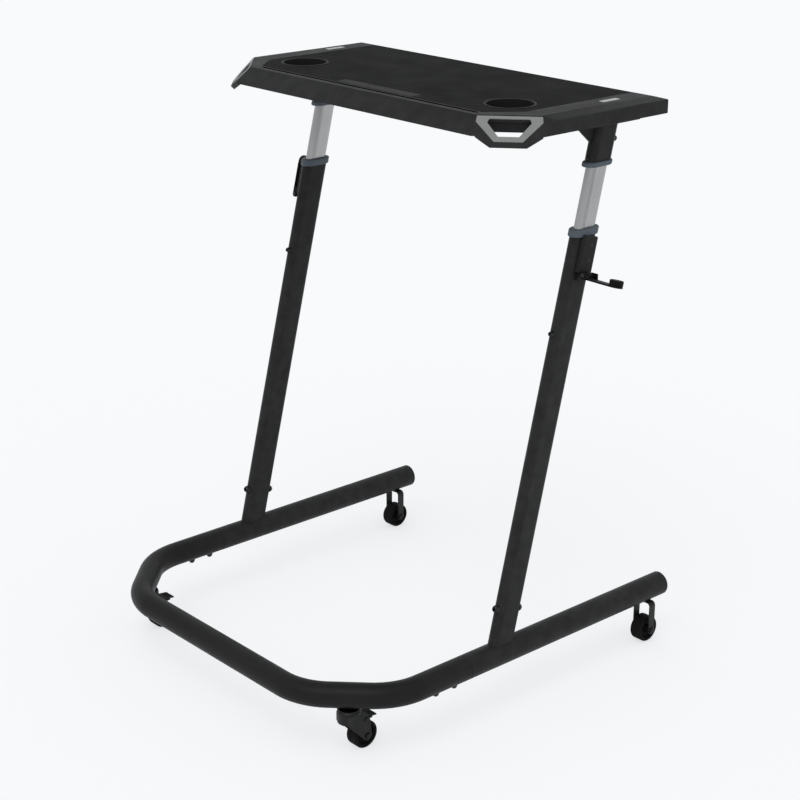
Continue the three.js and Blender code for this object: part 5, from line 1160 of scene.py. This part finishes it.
def writing_mat():
    mat = slab(cut_rectangle(*MAT), DESK_TOP - MAT_THICKNESS, DESK_TOP)
    hole = (0, CUP_RING_RADIUS + GAP, DESK_BOTTOM, DESK_TOP + CUP_WALL, CUP_SIDES)
    holes = [moved(pipe(*hole), place(side * CUP_X, CUP_Y)) for side, _ in SIDES]
    low = DESK_TOP - STRIP_THICKNESS
    seat = slab(rectangle(*STRIP, GAP), low - GAP, DESK_TOP + STRIP_THICKNESS, 0)
    add_piece("writing_mat", [cut(mat, [*holes, seat])], "mat_black", "desk", ["desk_mat"])
    strip = slab(rectangle(*STRIP), low, DESK_TOP, EDGE / 2)
    add_piece("rest_strip", [strip], "strip_grey", "desk", ["tablet_strip"])


def painted_slot_shade_sheet():
    """A near-black sheet of painted shade inside the tablet slot, just within the desk's own walls,
    standing for the shade there.
    """
    low, high = DESK_TOP - SLOT_DEPTH + GAP, DESK_TOP - SLOT_LIP
    outside = rectangle(*SLOT, -GAP)
    inside = rectangle(*SLOT, -GAP - SLOT_SHADE_SHEET_THICKNESS)
    walls = loft([
        [(x, y, height) for x, y in outline]
        for outline, height in ((outside, low), (outside, high), (inside, high), (inside, low))
    ])
    floor = slab(inside, low, low + SLOT_SHADE_SHEET_THICKNESS, 0)
    add_piece("painted_slot_shade_sheet", [walls, floor], "slot_painted_shade", "desk")


def cup_well(side, name):
    ring_low = DESK_TOP - MAT_THICKNESS
    ring_top = DESK_TOP + CUP_RING_PROUD
    floor = DESK_TOP - CUP_DEPTH
    outer = CUP_BORE_RADIUS + CUP_WALL
    corners = [
        (0, floor - CUP_WALL), (outer, floor - CUP_WALL),
        (outer, ring_low), (CUP_RING_RADIUS, ring_low),
        (CUP_RING_RADIUS, ring_top), (CUP_BORE_RADIUS, ring_top),
        (CUP_BORE_RADIUS, floor), (0, floor),
    ]
    radii = [0, CUP_WALL, 0, EDGE, CUP_RING_PROUD, CUP_RING_PROUD, CUP_FLOOR_RADIUS, 0]
    liner = lathe(fillet(corners, radii, False), CUP_SIDES)
    at_cup = BASE @ place(side * CUP_X, CUP_Y)
    add_twin(name, "cup_well", [liner], "cup_black", "desk", "cup_liner", at_cup)


def inlay(side, name):
    top = DESK_TOP + INLAY_PROUD
    plate = slab(rectangle(
        side * INLAY_X - INLAY_HALF_WIDTH,
        side * INLAY_X + INLAY_HALF_WIDTH,
        INLAY_Y - INLAY_HALF_LENGTH,
        INLAY_Y + INLAY_HALF_LENGTH,
        INLAY_CORNER_RADIUS,
    ), top - INLAY_THICKNESS, top, EDGE)
    add_twin(name, "inlay", [plate], "silver", "desk", "inlay_plate")


def handle_trim(name):
    bm = cad_copy(f"handle_trim_{name}")
    soften(bm, TRIM_EDGE, SHARP_ANGLE)
    trim = moved(as_mesh(bm), BASE.inverted())
    add_twin(name, "trim", [trim], "trim_grey", "desk", "handle_trim")


def base_board():
    board = slab(cut_rectangle(*PANEL), DESK_BOTTOM, DESK_BOTTOM + PANEL_THICKNESS)
    add_piece("base_board", [board], "board_black", "desk", ["desk_base_panel"])


def desktop():
    desk_shell()
    painted_slot_shade_sheet()
    writing_mat()
    base_board()
    for side, name in SIDES:
        cup_well(side, name)
        inlay(side, name)
        handle_trim(name)


# Casters
def wheel(boss_half):
    bore = AXLE_RADIUS + PLAY
    web = WHEEL_HALF_WIDTH - WHEEL_RECESS
    rim = WHEEL_RADIUS - WHEEL_RIM_THICKNESS
    half = [
        (WHEEL_RADIUS - WHEEL_LINE_DEPTH, 0),
        (WHEEL_RADIUS - WHEEL_LINE_DEPTH, WHEEL_LINE_HALF),
        (WHEEL_RADIUS, WHEEL_LINE_HALF * 2), (WHEEL_RADIUS, WHEEL_HALF_WIDTH),
        (rim, WHEEL_HALF_WIDTH), (rim - WHEEL_TREAD_EDGE, web),
        (WHEEL_BOSS_RADIUS + WHEEL_TREAD_EDGE / 2, web),
        (WHEEL_BOSS_RADIUS, boss_half), (bore, boss_half),
    ]
    radii = [0, 0, 0, WHEEL_TREAD_EDGE, EDGE, EDGE, EDGE, EDGE, 0]
    shape = [tuple(p) for p in fillet(half, radii, False)]
    profile = shape + [(r, -z) for r, z in reversed(shape[1:])]
    return moved(lathe(profile), Z_TO_X)


def front_caster(side, name):
    at_caster = BASE @ place(side * CASTER_X, CASTER_Y)
    swivel = f"swivel_{name}"
    pin_low = CROWN_BOTTOM - GAP
    middle = (RACE_BOTTOM + TUBE_BOTTOM) / 2
    stem = lathe([
        (0, pin_low - KING_PIN_HEAD_HEIGHT),
        (KING_PIN_HEAD_RADIUS - EDGE, pin_low - KING_PIN_HEAD_HEIGHT),
        (KING_PIN_HEAD_RADIUS, pin_low), (KING_PIN_RADIUS, pin_low),
        (KING_PIN_RADIUS, RACE_BOTTOM), (RACE_RADIUS - EDGE, RACE_BOTTOM),
        (RACE_RADIUS, RACE_BOTTOM + EDGE),
        (RACE_RADIUS, middle - RACE_GROOVE),
        (RACE_RADIUS - RACE_GROOVE, middle),
        (RACE_RADIUS - RACE_GROOVE, TUBE_BOTTOM - EDGE),
        (RACE_RADIUS - 2 * RACE_GROOVE, TUBE_BOTTOM),
        (STEM_RADIUS, TUBE_BOTTOM), (STEM_RADIUS, TUBE_BOTTOM + STEM_RISE),
        (0, TUBE_BOTTOM + STEM_RISE),
    ])
    add_twin(name, "swivel_race", [stem], "plated_steel", "base", "front_caster_stem", at_caster)

    bore = KING_PIN_RADIUS + PLAY
    crown = lathe(fillet([
        (bore, CROWN_BOTTOM), (RACE_RADIUS - EDGE, CROWN_BOTTOM),
        (RACE_RADIUS, CROWN_BOTTOM + EDGE * 2), (RACE_RADIUS, CROWN_TOP),
        (bore, CROWN_TOP),
    ], [0, EDGE, EDGE, EDGE, 0]))
    top = (CROWN_TOP + CROWN_BOTTOM) / 2
    shape = [
        (-FORK_FRONT_REACH, top), (-FORK_FRONT_REACH, -FORK_SHOULDER_DROP),
        *arc((CASTER_TRAIL, -AXLE_DROP), FORK_EYE_RADIUS, FORK_EYE_START, 0),
        (FORK_REAR_REACH, -FORK_REAR_DROP), (FORK_FRONT_REACH, top),
    ]
    outer = FORK_INNER + FORK_PLATE
    plates = cheeks(shape, FORK_INNER, outer)
    rivet = shaft(BRAKE_PIN_RADIUS, 2 * BRAKE_PIN_RADIUS, FORK_PLATE, outer)
    skirt_end = asin((FORK_FRONT_REACH - FORK_PLATE) / RACE_RADIUS)
    start, end = pi + skirt_end, 2 * pi - skirt_end
    front = arc((0, 0), RACE_RADIUS, start, end)
    front += arc((0, 0), RACE_RADIUS - FORK_PLATE, end, start)
    skirt = slab(front, -FORK_SHOULDER_DROP, top)
    meshes = [crown, skirt, *plates, moved(rivet, place(0, BRAKE_PIN_REACH, -BRAKE_PIN_DROP))]
    add_twin(name, "fork", meshes, "caster_black", swivel, "front_caster_fork", at_caster)

    at_axle = at_caster @ place(0, CASTER_TRAIL, -AXLE_DROP)
    axle = shaft(AXLE_RADIUS, AXLE_HEAD_RADIUS, AXLE_HEAD_WIDTH, outer + GAP)
    add_twin(name, "axle", [axle], "plated_steel", swivel, "front_caster_axle", at_axle)

    tyre = wheel(FORK_INNER - GAP)
    body = f"front_wheel_{name}"
    add_twin(name, "wheel", [tyre], "tyre_black", body, "front_caster_wheel", at_axle)
    brake(name, at_caster)


def brake(name, at_caster):
    half = PEDAL_HALF_WIDTH
    hub = moved(pipe(BRAKE_PIN_RADIUS + PLAY, PEDAL_HUB_RADIUS, -half, half), Z_TO_X)
    slope = (PEDAL_TIP_DROP - PEDAL_TOP_DROP) / (PEDAL_REACH - BRAKE_PIN_REACH)
    tread = bar([
        (BRAKE_PIN_REACH, -PEDAL_TOP_DROP), (PEDAL_REACH, -PEDAL_TIP_DROP),
        (PEDAL_REACH, -PEDAL_TIP_DROP - PEDAL_THICKNESS),
        (BRAKE_PIN_REACH, -PEDAL_TOP_DROP - PEDAL_THICKNESS),
    ], half, BROAD_EDGE)
    outline = rectangle(SHOE_START, SHOE_END, -SHOE_DROP, -PEDAL_TIP_DROP)
    shoe = bar(outline, SHOE_HALF_WIDTH)
    ribs = []
    for reach in PEDAL_RIBS:
        top = -PEDAL_TOP_DROP - (reach - BRAKE_PIN_REACH) * slope
        ribs.append(bar([
            (reach - RIB_RISE, top - RIB_RISE),
            (reach + RIB_RISE, top - RIB_RISE),
            (reach + RIB_RISE / 2, top + RIB_RISE),
            (reach - RIB_RISE / 2, top + RIB_RISE),
        ], half - PEDAL_THICKNESS, 0))
    meshes = [moved(hub, place(0, BRAKE_PIN_REACH, -BRAKE_PIN_DROP)), tread, shoe, *ribs]
    add_twin(name, "pedal", meshes, "moulded_black", f"brake_{name}", "brake_pedal", at_caster)


def rear_caster(side, name):
    at_caster = BASE @ place(side * RAIL_X, REAR_CASTER_Y)
    inner = STRAP_HALF_SPAN - STRAP_THICKNESS
    top = TUBE_BOTTOM
    shoulder = top - STRAP_BEND
    half = STRAP_HALF_WIDTH
    eye = arc((0, -AXLE_DROP), half, pi, 2 * pi)
    plates = cheeks([(-half, shoulder), *eye, (half, shoulder)], inner, STRAP_HALF_SPAN)
    bend = (STRAP_HALF_SPAN - STRAP_BEND, shoulder)
    outside = arc(bend, STRAP_BEND, 0, pi / 2)
    inside = arc(bend, STRAP_BEND - STRAP_THICKNESS, pi / 2, 0)
    over = [(STRAP_HALF_SPAN, shoulder - EDGE)] + outside
    over += [(-x, z) for x, z in reversed(over)]
    under = inside + [(inner, shoulder - EDGE)]
    under = [(-x, z) for x, z in reversed(under)] + under
    bridge = bar(over + under, half, EDGE, "XZ")
    bolt = moved(hex_head(*STRAP_BOLT_HEAD), place(0, 0, top - STRAP_THICKNESS) @ Z_DOWN)
    meshes = [*plates, bridge, bolt]
    add_twin(name, "strap", meshes, "caster_black", "base", "rear_caster_fork", at_caster)

    at_axle = at_caster @ place(0, 0, -AXLE_DROP)
    axle = shaft(AXLE_RADIUS, AXLE_HEAD_RADIUS, AXLE_HEAD_WIDTH, STRAP_HALF_SPAN + GAP)
    add_twin(name, "rear_axle", [axle], "plated_steel", "base", "rear_caster_axle", at_axle)

    tyre = wheel(inner - GAP)
    body = f"rear_wheel_{name}"
    add_twin(name, "rear_wheel_tyre", [tyre], "tyre_black", body, "rear_caster_wheel", at_axle)


# Stage
def floor_look():
    """To the camera the floor is mostly its plain pale colour, so that its shadows stay light."""
    look = Look("floor", specular=0)
    look.surface(FLOOR_COLOR, FLOOR_ROUGHNESS)
    pale = look.node("ShaderNodeEmission", {"Color": FLOOR_SEEN}).outputs["Emission"]
    seen = look.node("ShaderNodeLightPath").outputs["Is Camera Ray"]
    inputs = {0: look.product(seen, FLOOR_LIFT), 1: look.shader.outputs["BSDF"], 2: pale}
    mix = look.node("ShaderNodeMixShader", inputs)
    look.feed(look.tree.nodes["Material Output"], {"Surface": mix.outputs["Shader"]})
    return look.material


def stage():
    floor = bpy.data.meshes.new("floor")
    corners = rectangle(-FLOOR_HALF, FLOOR_HALF, -FLOOR_HALF, FLOOR_HALF)
    floor.from_pydata([(x, y, -FLOOR_DROP) for x, y in corners], [], [(0, 1, 2, 3)])
    floor.materials.append(floor_look())
    add_object("floor", floor)

    world = bpy.data.worlds.new("studio")
    bpy.context.scene.world = world
    world.use_nodes = True
    background = world.node_tree.nodes["Background"]
    background.inputs["Color"].default_value = SKY_COLOR
    background.inputs["Strength"].default_value = SKY_STRENGTH

    sun = bpy.data.lights.new("key", "SUN")
    sun.energy = SUN_STRENGTH
    sun.angle = SUN_SPREAD
    add_object("key", sun).rotation_euler = SUN_TURN

    lens = bpy.data.cameras.new("camera")
    lens.lens = CAMERA_LENS
    lens.sensor_width = CAMERA_SENSOR
    camera = add_object("camera", lens)
    camera.location = CAMERA_PLACE
    camera.rotation_euler = CAMERA_TURN
    bpy.context.scene.camera = camera
    bpy.context.scene.view_settings.view_transform = "Standard"


def hidden_nodes():
    """The pieces inside the legs keep their solids, with a finished material."""
    for _, name in SIDES:
        for node in (f"inner_bush_{name}", f"lock_pad_{name}"):
            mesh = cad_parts[node].data
            mesh.materials.clear()
            mesh.materials.append(LOOKS["moulded_black"])


front_tube()
for side, name in SIDES:
    rail(side, name)
    outer_leg(side, name)
    collars(side, name)
    inner_leg(side, name)
    desk_socket(side, name)
    lock(side, name)
    front_caster(side, name)
    rear_caster(side, name)
desktop()
hidden_nodes()
stage()
